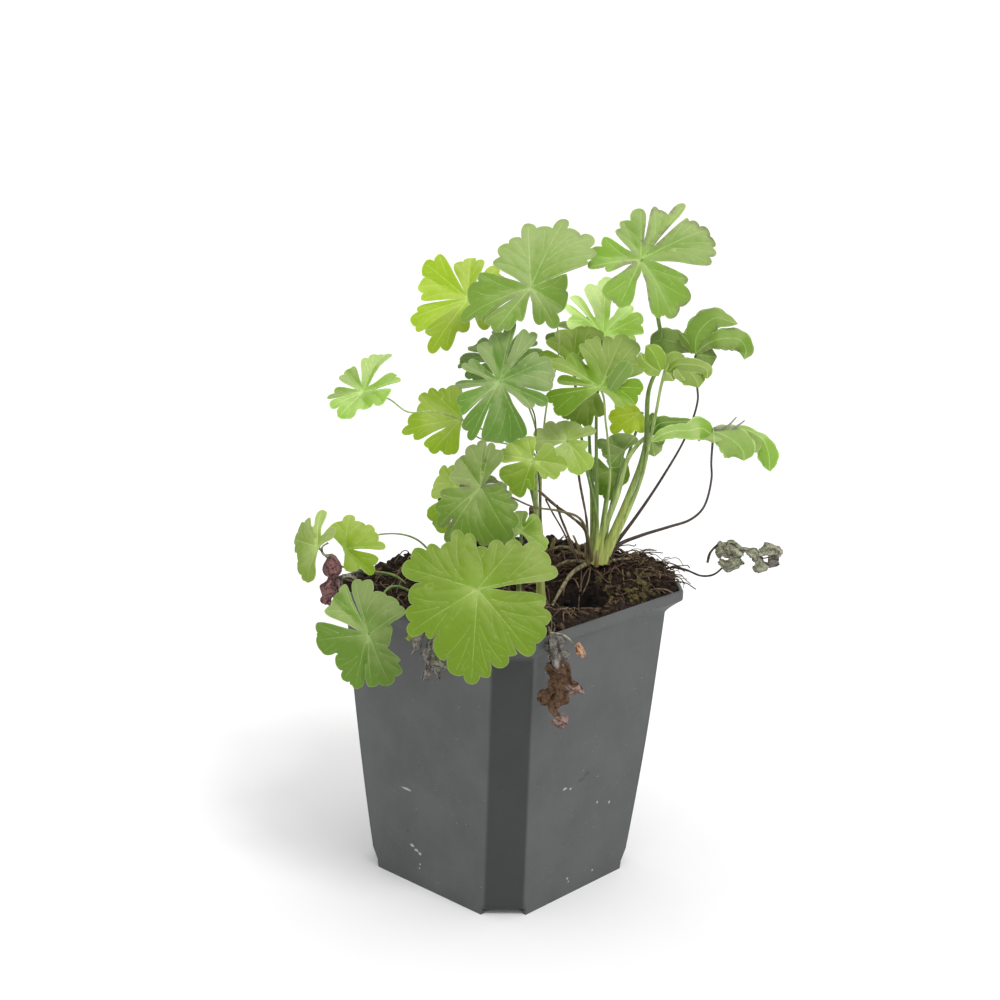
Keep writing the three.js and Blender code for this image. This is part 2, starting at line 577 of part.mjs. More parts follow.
// A shrivelled scrap of leaf: a strip with torn edges, folded along its middle.
function scrap(path, width, seed) {
  const draw = seeded(seed);
  const curve = new THREE.CatmullRomCurve3(path);
  const points = [];
  const triangles = [];
  for (let row = 0; row < SCRAP_ROWS; row += 1) {
    const share = row / (SCRAP_ROWS - 1);
    const centre = curve.getPointAt(share);
    const along = curve.getTangentAt(share);
    const side = new THREE.Vector3().crossVectors(along, spot([0, -1, 0])).normalize();
    const out = new THREE.Vector3().crossVectors(side, along).normalize();
    const half = 0.5 * width * (0.35 + 0.65 * Math.sin(Math.PI * (0.12 + 0.8 * share)));
    for (let column = 0; column < SCRAP_COLUMNS; column += 1) {
      const across = (2 * column) / (SCRAP_COLUMNS - 1) - 1;
      const torn = Math.abs(across) > 0.9 ? 0.45 + 0.75 * draw() : 1;
      const fold = 0.22 * width * (Math.abs(across) - 0.5) + 0.9 * (draw() - 0.5);
      points.push(centre.clone()
        .addScaledVector(side, across * torn * half)
        .addScaledVector(out, -fold)
        .addScaledVector(along, 1.2 * (draw() - 0.5)));
    }
  }
  const at = (row, column) => row * SCRAP_COLUMNS + column;
  for (let row = 0; row + 1 < SCRAP_ROWS; row += 1) {
    for (let column = 0; column + 1 < SCRAP_COLUMNS; column += 1) {
      triangles.push([at(row, column), at(row + 1, column), at(row + 1, column + 1)]);
      triangles.push([at(row, column), at(row + 1, column + 1), at(row, column + 1)]);
    }
  }
  const last = SCRAP_ROWS - 1;
  const rim = [];
  for (let row = 0; row <= last; row += 1) {
    rim.push(at(row, 0));
  }
  for (let column = 1; column < SCRAP_COLUMNS; column += 1) {
    rim.push(at(last, column));
  }
  for (let row = last - 1; row >= 0; row -= 1) {
    rim.push(at(row, SCRAP_COLUMNS - 1));
  }
  for (let column = SCRAP_COLUMNS - 2; column > 0; column -= 1) {
    rim.push(at(0, column));
  }
  return slab(points, triangles, rim.reverse(), BLADE);
}

// A ribbed closed bud.
function budBody({ at, size }) {
  const bud = new THREE.SphereGeometry(1, 12, 8);
  bud.deleteAttribute('normal');
  bud.deleteAttribute('uv');
  const round = BufferGeometryUtils.mergeVertices(bud);
  const spots = round.getAttribute('position');
  const centre = spot(at);
  for (let i = 0; i < spots.count; i += 1) {
    const p = new THREE.Vector3().fromBufferAttribute(spots, i);
    const rib = 1 + 0.14 * Math.cos(6 * Math.atan2(p.z, p.x));
    spots.setXYZ(i, centre.x + size[0] * rib * p.x, centre.y - size[1] * rib * p.z, centre.z + size[2] * p.y);
  }
  return solidOf(round);
}

// ---- Pot ------------------------------------------------------------------

function square(half, corner, z) {
  const near = half - corner;
  return [
    [half, -near], [half, near], [near, half], [-near, half],
    [-half, near], [-half, -near], [-near, -half], [near, -half],
  ].map(([x, y]) => new THREE.Vector3(x, y, z));
}

function wallHalf(z) {
  const share = z / POT.wallTopHeight;
  return THREE.MathUtils.lerp(POT.baseHalf, POT.wallTopHalf, share);
}

function makePot() {
  const rimFoot = POT.height - POT.rimDepth;
  const innerRim = POT.rimHalf - POT.wall;
  const innerCorner = POT.corner - POT.wall / 2;
  const shell = solidOf(loft([
    square(wallHalf(0), POT.footCorner, 0),
    square(wallHalf(POT.footHeight), POT.footCorner, POT.footHeight),
    square(wallHalf(POT.footHeight) + 0.01, POT.corner, POT.footHeight + 0.02),
    square(POT.wallTopHalf, POT.corner, POT.wallTopHeight),
    square(POT.rimHalf, POT.rimCorner, rimFoot),
    square(POT.rimHalf, POT.rimCorner, POT.height),
    square(innerRim, POT.rimCorner - POT.wall / 2, POT.height),
    square(innerRim, POT.rimCorner - POT.wall / 2, rimFoot + POT.wall),
    square(POT.wallTopHalf - POT.wall, innerCorner, POT.wallTopHeight + POT.wall),
    square(wallHalf(POT.floor) - POT.wall, POT.footCorner - POT.wall / 2, POT.floor),
  ]));
  return DRAIN_HOLES.reduce((pot, row) => {
    let body = pot;
    for (let i = 0; i < 4; i += 1) {
      const turn = rad(row.start + 90 * i);
      const drill = new THREE.CylinderGeometry(row.radius, row.radius, 4 * POT.floor, DRAIN_SIDES);
      drill.rotateX(Math.PI / 2);
      drill.translate(row.reach * Math.cos(turn), row.reach * Math.sin(turn), POT.floor / 2);
      body = body.subtract(solidOf(drill));
    }
    return body;
  }, shell);
}

// ---- Soil and crowns ------------------------------------------------------

// How far the octagon of a given half width and corner cut reaches at a turn.
function reachOf(turn, half, corner) {
  const c = Math.abs(Math.cos(turn));
  const d = Math.abs(Math.sin(turn));
  return Math.min(half / Math.max(c, d), (2 * half - corner) / (c + d));
}

// Height of the soil's surface, asked in the plant's own frame.
function soilHeight(x, y) {
  const near = ([cx, cy], width) => Math.exp(-((x - cx) ** 2 + (y - cy) ** 2) / (width * width));
  const heap = SOIL.heaps.reduce((sum, [at, width, height]) => sum + height * near(at, width), 0);
  const rough = Math.sin(0.61 * x + 0.9) * Math.cos(0.53 * y)
    + 0.6 * Math.sin(1.13 * x - 0.8 * y) + 0.4 * Math.cos(1.7 * y + 0.4 * x);
  return SOIL.edgeHeight + heap + SOIL.roughness * rough;
}

function surfaceHeight(x, y) {
  const turned = new THREE.Vector3(x, y, 0).applyAxisAngle(UP, -rad(PLANT_TURN));
  return soilHeight(turned.x, turned.y);
}

function makeSoil() {
  const { spokes, rings } = SOIL;
  const rimLevel = POT.height - POT.rimDepth + POT.wall + 3 * CLEAR;
  const rimHalf = POT.rimHalf - POT.wall - 2 * CLEAR;
  const floorLevel = POT.floor + CLEAR;
  const loops = [
    [floorLevel, wallHalf(floorLevel) - POT.wall - CLEAR, POT.footCorner],
    [POT.wallTopHeight + POT.wall + 0.2, POT.wallTopHalf - POT.wall - 0.5, POT.corner],
    [rimLevel, rimHalf, POT.rimCorner],
  ].map(([z, half, corner]) => Array.from({ length: spokes }, (_, i) => {
    const turn = (2 * Math.PI * i) / spokes;
    const out = reachOf(turn, half, corner);
    return new THREE.Vector3(out * Math.cos(turn), out * Math.sin(turn), z);
  }));
  for (let ring = rings; ring > 0; ring -= 1) {
    loops.push(Array.from({ length: spokes }, (_, i) => {
      const turn = (2 * Math.PI * i) / spokes;
      const out = reachOf(turn, rimHalf, POT.rimCorner) * (ring / rings);
      const x = out * Math.cos(turn);
      const y = out * Math.sin(turn);
      return new THREE.Vector3(x, y, Math.max(surfaceHeight(x, y), rimLevel + CLEAR));
    }));
  }
  let soil = solidOf(loft(loops));
  const draw = seeded(9);
  const scatter = (inner, outer) => {
    const turn = 2 * Math.PI * draw();
    const out = (inner + (outer - inner) * Math.sqrt(draw())) * reachOf(turn, rimHalf, POT.rimCorner);
    return [out * Math.cos(turn), out * Math.sin(turn)];
  };
  for (let i = 0; i < PEAT_CHIPS; i += 1) {
    const [x, y] = scatter(0, 0.86);
    const chip = new THREE.BoxGeometry(3 + 5 * draw(), 2 + 2.5 * draw(), 1.6 + 1.2 * draw());
    chip.rotateX(0.5 * (draw() - 0.5));
    chip.rotateY(0.9 * (draw() - 0.5));
    chip.rotateZ(Math.PI * draw());
    chip.translate(x, y, surfaceHeight(x, y) + 0.2);
    soil = soil.add(solidOf(chip));
  }
  for (let i = 0; i < PEAT_FIBRES; i += 1) {
    const [x, y] = scatter(0.3, 0.84);
    const heading = 2 * Math.PI * draw();
    const length = 6 + 7 * draw();
    const arch = 1.5 + 2.5 * draw();
    const route = [-0.1, 0.3, 0.7, 1.1].map((share) => {
      const px = x + share * length * Math.cos(heading);
      const py = y + share * length * Math.sin(heading);
      return new THREE.Vector3(px, py, surfaceHeight(px, py) + arch * (4 * share * (1 - share)) - 0.5);
    });
    soil = soil.add(solidOf(stalk(route, FIBRE, FIBRE)));
  }
  return soil;
}

// A knobbly woody base; grow swells it evenly to make its bed in the soil.
function crownBody({ at, size, seed, roots }, grow) {
  const knob = new THREE.IcosahedronGeometry(1, 2);
  knob.deleteAttribute('normal');
  knob.deleteAttribute('uv');
  const round = BufferGeometryUtils.mergeVertices(knob);
  const spots = round.getAttribute('position');
  const centre = spot(at);
  for (let i = 0; i < spots.count; i += 1) {
    const p = new THREE.Vector3().fromBufferAttribute(spots, i);
    const lump = 1 + 0.06 * Math.sin(5 * p.x + seed) * Math.cos(4 * p.y - seed) + 0.04 * Math.sin(9 * p.z + 3 * p.x);
    const q = new THREE.Vector3(
      p.x * (size[0] * lump + grow), p.y * (size[1] * lump + grow), p.z * (size[2] * lump + grow));
    q.applyAxisAngle(UP, rad(PLANT_TURN)).add(centre);
    spots.setXYZ(i, q.x, q.y, q.z);
  }
  const branches = roots.map((route) => solidOf(stalk(route.map(spot), ROOT.foot + grow, ROOT.tip + grow)));
  return branches.reduce((sum, branch) => sum.add(branch), solidOf(round));
}

// ---- Assembly -------------------------------------------------------------

const group = new THREE.Group();

function add(name, solid, colour, roughness) {
  const material = new THREE.MeshStandardMaterial({ color: colour, roughness, metalness: 0 });
  const mesh = new THREE.Mesh(geometryOf(solid), material);
  mesh.name = name;
  group.add(mesh);
}

const beds = [];
for (const leaf of LEAVES) {
  const { points, triangles, border, normal, knot } = bladeSheet(leaf);
  const route = stalkRoute(leaf, normal, knot).reverse();
  const blade = solidOf(slab(points, triangles, border, BLADE));
  const stem = solidOf(stalk(route, STALK.foot, STALK.tip));
  beds.push(bedOf(route, STALK.foot, STALK.tip));
  add(leaf.name, blade.add(stem), leaf.tone, 0.6);
}

for (const dead of [...WITHERED, BUD]) {
  const route = dead.stalk.map(spot);
  const scraps = dead.scraps.map(([path, width, seed]) => solidOf(scrap(path.map(spot), width, seed)));
  let body = scraps.reduce((sum, piece) => sum.add(piece), solidOf(stalk(route, DRY_STALK.foot, DRY_STALK.tip)));
  if (dead.size) {
    body = body.add(budBody(dead));
  }
  beds.push(bedOf(route, DRY_STALK.foot, DRY_STALK.tip));
  add(dead.name, body, dead.tone, 0.9);
}

const bedded = (solid) => beds.reduce((rest, bed) => rest.subtract(bed), solid);

let soil = makeSoil();
for (const crown of CROWNS) {
  add(crown.name, wholeOf(bedded(crownBody(crown, 0))), 0x5a4030, 0.9);
  soil = soil.subtract(crownBody(crown, CLEAR));
}
add('soil', wholeOf(bedded(soil)), 0x2e211a, 1);
add('pot', makePot(), 0x55585a, 0.45);

export default group;
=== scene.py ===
"""Hardy geranium in its square nursery pot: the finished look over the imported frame."""

import json
import math

import bmesh
import bpy
import numpy as np
from mathutils import Matrix, Vector
from mathutils.geometry import delaunay_2d_cdt


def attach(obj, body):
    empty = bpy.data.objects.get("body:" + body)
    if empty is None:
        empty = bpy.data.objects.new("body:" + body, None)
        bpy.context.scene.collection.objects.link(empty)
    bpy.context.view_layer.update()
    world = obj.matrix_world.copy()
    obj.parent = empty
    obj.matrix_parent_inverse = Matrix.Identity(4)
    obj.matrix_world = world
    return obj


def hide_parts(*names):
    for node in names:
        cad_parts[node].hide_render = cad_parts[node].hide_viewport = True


bl_info = {
    "name": "Potted hardy geranium",
    "version": (1, 0, 0),
    "blender": (4, 5, 0),
    "location": "View3D > Sidebar > Geranium",
    "description": "Builds the leaves, stalks, soil and pot of a hardy geranium over its solids",
    "category": "Add Mesh",
}

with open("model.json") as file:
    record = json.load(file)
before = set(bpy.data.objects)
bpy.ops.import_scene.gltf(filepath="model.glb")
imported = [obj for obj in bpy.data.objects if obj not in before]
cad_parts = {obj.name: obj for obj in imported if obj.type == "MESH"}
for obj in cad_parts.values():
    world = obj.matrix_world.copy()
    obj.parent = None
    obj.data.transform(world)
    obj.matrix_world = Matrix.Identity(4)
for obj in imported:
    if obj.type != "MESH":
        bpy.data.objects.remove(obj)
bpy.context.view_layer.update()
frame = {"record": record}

# ---- Sizes, in millimetres unless a name says otherwise -------------------

MM = 0.001
PLANT_TURN = 42.5        # degrees from the pot's sides to the plant's own frame
TURN_COS, TURN_SIN = math.cos(math.radians(PLANT_TURN)), math.sin(math.radians(PLANT_TURN))

# The plant's own frame: x to the right and y to the back of the side that most
# leaves face. knot is where a blade meets its stalk, faces is the bearing (0 is
# the plant's front, turning to the right) and the lift of its upper side. tips
# are (clock angle, reach) round the knot, clockwise from uphill. cuts are
# (clock angle, where it ends, degrees that it opens); other tips are parted by
# a shallow notch. strips are lobes that hang along ribs of their own: places
# down the rib, each with the lobe's half width there. beaks are dry seed beaks.
# base is the stalk's foot and via the places that it passes from the knot down;
# stem is its colour and thick makes it wider. light, warm and green make one
# leaf lighter, yellower and deeper than its tone, look lends it the material of
# another tone, and rim is how far its edge has dried.
LEAVES = [
    dict(name="leaf_front_big", tone="fresh", knot=(-9, -60, 117), faces=(2, 25), droop=12,
         tips=[(100, 21), (111, 24), (125, 25), (140, 26), (148, 23), (161, 25), (172, 27), (-177, 29),
               (-166, 27), (-155, 24), (-136, 21), (-123, 25), (-110, 23), (-98, 21), (-74, 24),
               (-59, 23), (-48, 20), (-38, 17), (-21, 19), (-9, 17), (5, 13), (22, 16), (40, 19),
               (52, 23), (65, 24), (77, 25)],
         cuts=[(88, 3, 10), (-84, 17, 6), (-104, 20, 4), (-139, 18, 6), (-157, 22, 4), (169, 22, 5),
               (147, 19, 5)],
         base=(-12, -8, 94), via=[(-11, -30, 106)],
         stem="pale", light=1.02, green=0.35, warm=0.08, rim=0.12),
    dict(name="leaf_left_low", tone="bluish", knot=(-43, -38, 94), faces=(-20, 30), droop=18,
         tips=[(109, 8), (118, 14), (128, 17), (145, 18), (165, 17), (-173, 18), (-156, 17), (-142, 15),
               (-104, 18), (-88, 18), (-71, 18), (-55, 19), (-40, 20), (-27, 19), (-13, 18), (3, 14),
               (28, 14), (46, 14), (66, 8)],
         cuts=[(-80, 2, 13), (-35, 4, 3), (174, 9, 3), (-128, 12, 5)],
         base=(-26, -2, 94), via=[(-38, -20, 104)],
         thick=0.7, light=0.92, green=0.2, warm=0.08),
    dict(name="leaf_left_bud", tone="lime", knot=(-53, -11.5, 114), faces=(-25, 40), droop=16,
         tips=[(98, 13), (117, 14), (134, 10), (-36, 11), (-14, 13), (10, 11), (33, 12), (54, 12),
               (73, 14)],
         cuts=[(84, 2, 12)],
         base=(-18, 10, 95), via=[(-42, -3, 117), (-30, 5, 113)],
         stem="pale", thick=0.55, light=0.9, green=0.15),
    dict(name="leaf_left_edge", tone="sage", knot=(-61, -20, 117), faces=(-50, 25), droop=14,
         tips=[(33, 9), (-26, 13), (-51, 12), (-71, 14), (-92, 14), (-108, 12), (-122, 10), (-146, 11),
               (169, 12)],
         cuts=[(8, 4, 18), (-39, 7, 8)],
         base=(-30, 2, 94), via=[(-56, -15, 110), (-46, -7, 105.5), (-37, -1, 102)],
         thick=0.6, light=1.1, warm=0.15),
    dict(name="leaf_yellow", tone="lime", knot=(-15, 8, 194), faces=(-15, 35), droop=12,
         tips=[(120, 12), (140, 13), (178, 12), (-166, 19), (-155, 22), (-140, 18), (-127, 20),
               (-113, 21), (-103, 18), (-94, 16), (-79, 18), (-54, 20), (-40, 18), (-24, 16), (-9, 17),
               (6, 15), (32, 15), (48, 14)],
         cuts=[(-34, 2.5, 2), (-98, 2.5, 1.5), (-136, 3, 1.5), (18, 4, 3), (158, 3, 14)],
         base=(11, 13, 102), via=[(-8, 13, 187), (0, 14, 170), (8, 13, 152), (10.5, 14, 135),
                                  (10.8, 13.5, 118)],
         stem="pale", thick=0.55, light=1.16, green=0.15, warm=0.2),
    dict(name="leaf_top_left", tone="sage", knot=(5, -10, 201), faces=(-8, 35), droop=14,
         tips=[(62, 20), (56, 24), (42, 27), (29, 25), (17, 28), (5, 24), (-8, 25), (-22, 19), (-37, 18),
               (-58, 15), (-76, 18), (-94, 21), (-116, 25), (-127, 20), (-136, 19), (-149, 19),
               (-161, 17), (-173, 13), (160, 13), (144, 16), (120, 13), (69, 12)],
         cuts=[(-68, 2.5, 10), (-131, 5, 3), (179, 2.5, 18), (65.5, 4, 3)],
         base=(13, 14, 102), via=[(10, -3, 196), (15, 4, 182), (11.5, 8, 158), (10.6, 10, 140),
                                  (11, 12, 120)],
         stem="pale", thick=0.55, green=0.1, rim=0.3),
    dict(name="leaf_small_left", tone="sage", knot=(-48, -4, 165), faces=(-20, 50), droop=16,
         tips=[(146, 8), (118, 10), (84, 10), (68, 13), (55, 12), (1, 20), (-8, 18), (-18, 15), (-34, 11),
               (-48, 11), (-68, 10), (-95, 10), (-112, 12), (-140, 12), (-163, 13)],
         cuts=[(26, 2.5, 44), (77, 2.5, 6), (-122, 3, 7), (-82, 2, 8), (-27, 3, 8), (-150, 9, 5)],
         base=(9, 14, 102), via=[(-40, -4, 163), (-33, -10, 160), (-24, -13, 161), (-4, 2, 150),
                                 (8, 9, 143), (10.4, 13, 130), (10.3, 14, 115)],
         stem="pale", thick=0.55, light=1.3),
    dict(name="leaf_left_yellow", tone="lime", knot=(-16, 0, 156), faces=(-15, 25), droop=12,
         tips=[(-29, 12), (-43, 13), (-53, 16), (-66, 18), (-80, 16), (-94, 19), (-107, 21), (-119, 17),
               (-132, 15), (-145, 15), (-160, 13)],
         cuts=[(-126, 5, 3)],
         base=(10, 12, 102), via=[(-11, 5, 149), (3, 11, 144), (10, 15, 133), (10.4, 15, 116)],
         stem="pale", thick=0.55, light=1.06, green=0.15, warm=0.1),
    dict(name="leaf_mid_left", tone="bluish", knot=(-4, -22, 173), faces=(-8, 30), droop=14,
         tips=[(127, 14), (112, 17), (86, 17), (73, 18), (61, 18), (47, 15), (30, 20), (19, 19), (8, 20),
               (-9, 16), (-33, 14), (-56, 12), (-71, 13), (-99, 14), (-121, 15), (-137, 16), (-148, 19),
               (-158, 21), (-172, 20), (177, 20), (164, 20), (152, 20)],
         cuts=[(-46, 2, 10), (39, 4, 12), (101, 7, 3), (139, 4, 12), (-165, 8, 2), (-141, 5, 2),
               (-110, 5, 3), (-85, 4, 12), (14, 4, 2)],
         base=(11, 8, 102), via=[(2, -18, 169), (7, -14, 162), (8.3, -9, 150), (9.6, -2, 138),
                                 (10.8, 4, 122)],
         stem="olive", thick=0.5, rim=0.2),
    dict(name="leaf_centre", tone="fresh", knot=(28, -11, 170), faces=(5, 30), droop=12,
         tips=[(128, 10), (114, 13), (92, 14), (58, 17), (38, 21), (24, 21), (11, 18), (-2, 17),
               (-14, 16), (-25, 15), (-40, 15), (-58, 19), (-82, 14), (-102, 18), (-118, 17)],
         cuts=[(-91, 4, 5), (-70, 6, 1), (-31, 8, 1), (4, 11, 1), (74, 5, 3), (-170, 2, 50)],
         strips=[[(30.5, -11, 168, 0.6), (33, -12.5, 173, 1.9), (35.5, -13.5, 177, 2),
                  (36.5, -14, 179, 1.2)]],
         base=(31, 3.5, 107), via=[(29.5, -8, 166), (30.5, -6, 158), (31.5, -4, 152), (33, -1, 138),
                                   (32, 2, 122)],
         stem="pale", thick=0.7, light=1.1, green=0.15),
    dict(name="leaf_core_bright", tone="fresh", knot=(20, 8, 173), faces=(0, 45), droop=12,
         tips=[(-65, 12), (-36, 14), (-14, 17), (4, 18), (20, 18)],
         cuts=[(-50, 4, 4)],
         base=(29.5, 7, 107), via=[(24, 12, 147), (29, 10, 127)],
         light=1.15, green=0.3, warm=0.15),
    dict(name="leaf_core_dark", tone="dark", knot=(28, 3, 166), faces=(0, 30), droop=8,
         tips=[(-179, 9), (-165, 13), (-147, 14), (-130, 15)],
         cuts=[],
         base=(30, 6, 107), light=1.4, warm=0.15),
    dict(name="leaf_top_right", tone="sage", knot=(40, 1, 209.5), faces=(12, 35), droop=18,
         tips=[(169, 21), (154, 22), (132, 21), (115, 17), (95, 23), (84, 26), (74, 28), (64, 28),
               (56, 26), (49, 24), (41, 27), (29, 20), (20, 20), (6, 18), (-22, 14), (-42, 12), (-62, 14),
               (-83, 17), (-98, 18), (-109, 13), (-134, 19), (-151, 19)],
         cuts=[(-119, 3, 10), (-174, 4, 24), (105, 3, 22), (47, 4, 8), (15, 6, 3), (-52, 3, 14)],
         base=(31, 4, 107), via=[(45.5, 6, 199), (47, 8, 190), (49, 8, 178), (45, 6, 166), (44.5, 4, 147),
                                 (39.5, 3, 130)],
         thick=1.35, light=1.12, green=0.1, rim=0.6),
    dict(name="leaf_pale_behind", tone="pale", knot=(30, 23, 181), faces=(10, 40), droop=12,
         tips=[(101, 11), (87, 14), (67, 15), (44, 17), (9, 25), (-4, 21), (-31, 18), (-42, 17), (-60, 13)],
         cuts=[(-36, 4, 2), (-18, 5, 6), (26, 6, 12), (54, 8, 3)],
         base=(30, 8, 107), light=1.65),
    dict(name="leaf_right_upper", tone="bluish", knot=(59.5, 4, 178.5), faces=(25, 45),
         strips=[[(59.5, 4, 179, 1.2), (59.5, 5, 184, 3), (62, 6, 188, 3.5), (65.5, 6, 190.5, 2.8),
                  (69, 5, 190, 1.6), (72.5, 4, 189, 0.5)],
                 [(59.5, 4, 179, 0.8), (61, 4, 180.5, 1), (63.5, 4, 182.5, 1.5), (66.5, 3, 184, 2.4),
                  (70.5, 3, 184.5, 2.8), (73.5, 2, 184, 2.6), (75.5, 2, 181, 2), (75, 1, 178, 0.4)],
                 [(59.5, 4, 178, 1), (61.5, 4, 178.5, 2.4), (64, 5, 178, 3.1), (66.5, 5, 178, 0.9)],
                 [(58.5, 5, 180, 0.8), (56, 6, 181.5, 2.3), (53, 7, 182, 3.3), (48.5, 8, 182.5, 3),
                  (45, 8, 180.5, 1)],
                 [(58.5, 5, 180, 0.6), (56.5, 5, 183, 1.5), (54, 5, 185.5, 0.5)]],
         base=(32, 7, 107), via=[(60.5, 4, 168.5), (61, 4, 163.5), (58, 5, 151.5), (51, 7, 136.5),
                                 (42, 8, 121)],
         stem="purple", thick=0.72, green=0.25, warm=0.12, rim=0.5),
    dict(name="leaf_right_inner", tone="sage", knot=(49, -6, 175), faces=(20, 50),
         strips=[[(50, -6, 174.5, 0.8), (52, -7, 177, 1.4), (56, -8, 177.5, 1.8), (60, -8, 177, 1.6),
                  (62, -9, 176, 1.4), (62, -10, 173.5, 0.6)],
                 [(53.5, -7, 177, 1.2), (56, -8, 175.5, 3), (58.5, -9, 173, 2.6), (59.5, -10, 170.5, 0.7)],
                 [(52.5, -7, 176, 0.9), (53.5, -8, 174.5, 1.6), (55, -9, 172.5, 0.6)],
                 [(49, -6, 174.5, 1), (50.5, -7, 173.5, 1.8), (51.5, -8, 172, 0.6)],
                 [(49, -6, 175, 0.9), (51.5, -5, 178.5, 1.9), (55, -5, 179.5, 1)],
                 [(47.5, -6, 175, 1.2), (46, -6, 178.5, 2.6), (44.5, -6, 181, 2.2), (42.5, -6, 183, 0.8)],
                 [(47.5, -6, 174.5, 1.1), (44.5, -6, 176, 2), (41.5, -6, 178.5, 1.6), (41, -5, 180.5, 0.6)]],
         base=(32.5, 4.5, 107), via=[(48, -5, 170), (47, -3, 161), (45.5, 2, 148), (44, 4, 138),
                                     (40.5, 4, 127)],
         stem="pale", warm=0.15),
    dict(name="leaf_right_low", tone="sage", knot=(66, -2, 153), faces=(15, 60),
         strips=[[(65.5, -2, 153.5, 1.6), (61.5, -4, 156, 3), (58, -6, 155.5, 2.1), (53, -7, 155.5, 1.7),
                  (49, -8, 154.5, 1.4), (45.5, -8, 152, 0.5)],
                 [(66, -2, 154, 1.8), (66, -4, 153, 2.4), (66, -5, 151.5, 1)],
                 [(66, -2, 154.5, 1.6), (68.5, -3, 154, 2.8), (72.5, -4, 152, 4), (75.5, -5, 149, 3.6),
                  (76, -6, 146, 0.8)],
                 [(71.5, -2, 154, 1.2), (76, -1, 153, 2.6), (79.5, -2, 150, 2.3), (80.5, -3, 148, 0.5)],
                 [(70.5, -2, 155, 0.8), (76.5, 0, 155, 1.1), (80, 0, 153.5, 1), (82.5, -1, 152, 1.5),
                  (84.5, -2, 147, 2.6), (85, -3, 142, 0.8)]],
         beaks=[[(66, -2, 155.5), (70, -3, 156.5), (73, -4, 160)],
                [(70.5, -2, 154.5), (73.5, -2, 156.5), (76, -2, 158.5)]],
         base=(33, 5.5, 107), via=[(66, -1, 144), (66.5, 0, 138), (64.5, 1, 128), (60.5, 2, 123.5),
                                   (53.5, 3, 120.5), (44.5, 4, 117), (37, 5, 113)],
         stem="purple", thick=0.74, light=1.13),
    dict(name="leaf_right_low_inner", tone="dark", knot=(47, 13, 149.5), faces=(20, 40),
         strips=[[(47, 13, 150, 1.2), (49.5, 12, 153.5, 2), (54, 11, 154.5, 1.2), (58, 10, 155, 0.9),
                  (61, 10, 155.5, 0.3)],
                 [(47, 12, 149, 1.2), (47.5, 9, 146.5, 2.5), (48, 7, 143.5, 0.8)],
                 [(47.5, 11, 148, 1.1), (50, 9, 148, 0.9), (51.5, 9, 149, 0.3)],
                 [(47.5, 13, 150, 1.3), (47.5, 15, 153, 2), (47.5, 16, 156.5, 0.9)]],
         base=(29, 5, 107), via=[(45, 9, 149.5), (42.5, 6, 148), (39, 4, 143), (36, 3, 131), (32, 3, 119)],
         stem="pale", thick=1.4, light=1.5),
    dict(name="leaf_lower_mid", tone="bluish", knot=(-9, -38, 143), faces=(-20, 20), droop=22,
         tips=[(86, 9), (95, 11), (109, 14), (126, 17), (141, 19), (155, 19), (170, 18), (-178, 17),
               (-165, 19), (-152, 21), (-138, 19), (-121, 16), (-108, 13), (-80, 10), (-45, 12),
               (-24, 14), (-5, 15), (8, 14), (21, 13)],
         cuts=[(1, 8, 1), (60, 2, 50), (-145, 13, 2), (-94, 4, 8)],
         base=(29, 4, 107), via=[(-3, -36, 141), (7.5, -24, 133.5), (16.5, -12, 129), (24, -4, 124)],
         stem="olive", thick=0.6, light=0.88, green=0.15, warm=0.12, rim=0.5),
    dict(name="leaf_centre_low", tone="lime", knot=(7, -26, 149), faces=(0, 40), droop=14,
         tips=[(148, 8), (132, 10), (98, 11), (57, 8), (-15, 9), (-48, 10), (-84, 11), (-122, 12),
               (-160, 13), (-177, 10)],
         cuts=[(-103, 3, 3), (166, 4, 24)],
         base=(11.5, -6, 97), via=[(8, -24, 144), (8.5, -20, 134), (9, -16, 127), (10.5, -10, 116)],
         stem="pale", thick=1.5, look="fresh", light=1.17, warm=0.12),
    dict(name="leaf_pale_low", tone="pale", knot=(18, -10, 152), faces=(8, 35), droop=18,
         tips=[(158, 12), (144, 12), (99, 7), (74, 10), (35, 7), (-11, 7), (-45, 9), (-76, 11), (-92, 12),
               (-150, 9)],
         cuts=[(87, 3, 14)],
         base=(29, 4, 107), via=[(22.5, -9, 149), (25, -6, 141.5), (27.5, -2, 132), (29.5, 1, 122)],
         warm=0.15),
    dict(name="leaf_yellow_behind", tone="lime", knot=(44.5, 23, 155), faces=(10, 35), droop=8,
         tips=[(-68, 10), (-99, 12), (-120, 13), (-138, 10), (-168, 8)],
         cuts=[],
         base=(31, 7, 107), light=1.15, warm=0.6),
    dict(name="leaf_inner_left", tone="dark", knot=(38, 11, 144.5), faces=(10, 45), droop=10,
         tips=[(42, 7), (-36, 7), (-64, 10), (-108, 8), (-138, 9)],
         cuts=[],
         base=(32, 7, 107), light=1.2),
    dict(name="leaf_inner_low", tone="fresh", knot=(35, 28, 133), faces=(10, 40), droop=10,
         tips=[(128, 7), (43, 7), (-66, 8), (-110, 8), (-150, 10), (-166, 11)],
         cuts=[],
         base=(31, 8, 107)),
    dict(name="leaf_small_yellow", tone="lime", knot=(-16, -22, 137), faces=(-30, 25), droop=12,
         tips=[(-30, 9), (-47, 11), (-80, 10), (-101, 10), (-136, 14), (-153, 15)],
         cuts=[(-120, 5, 8)],
         base=(6, 22, 100)),
    dict(name="leaf_small_fresh", tone="fresh", knot=(4, -34, 128), faces=(0, 45), droop=12,
         tips=[(128, 10), (44, 7), (1, 8), (-53, 7), (-119, 8)],
         cuts=[(22, 3, 6), (-26, 3, 6)],
         base=(4, -10, 96)),
    dict(name="leaf_back_left", tone="bluish", knot=(-4, 31, 170), faces=(190, 40), droop=16,
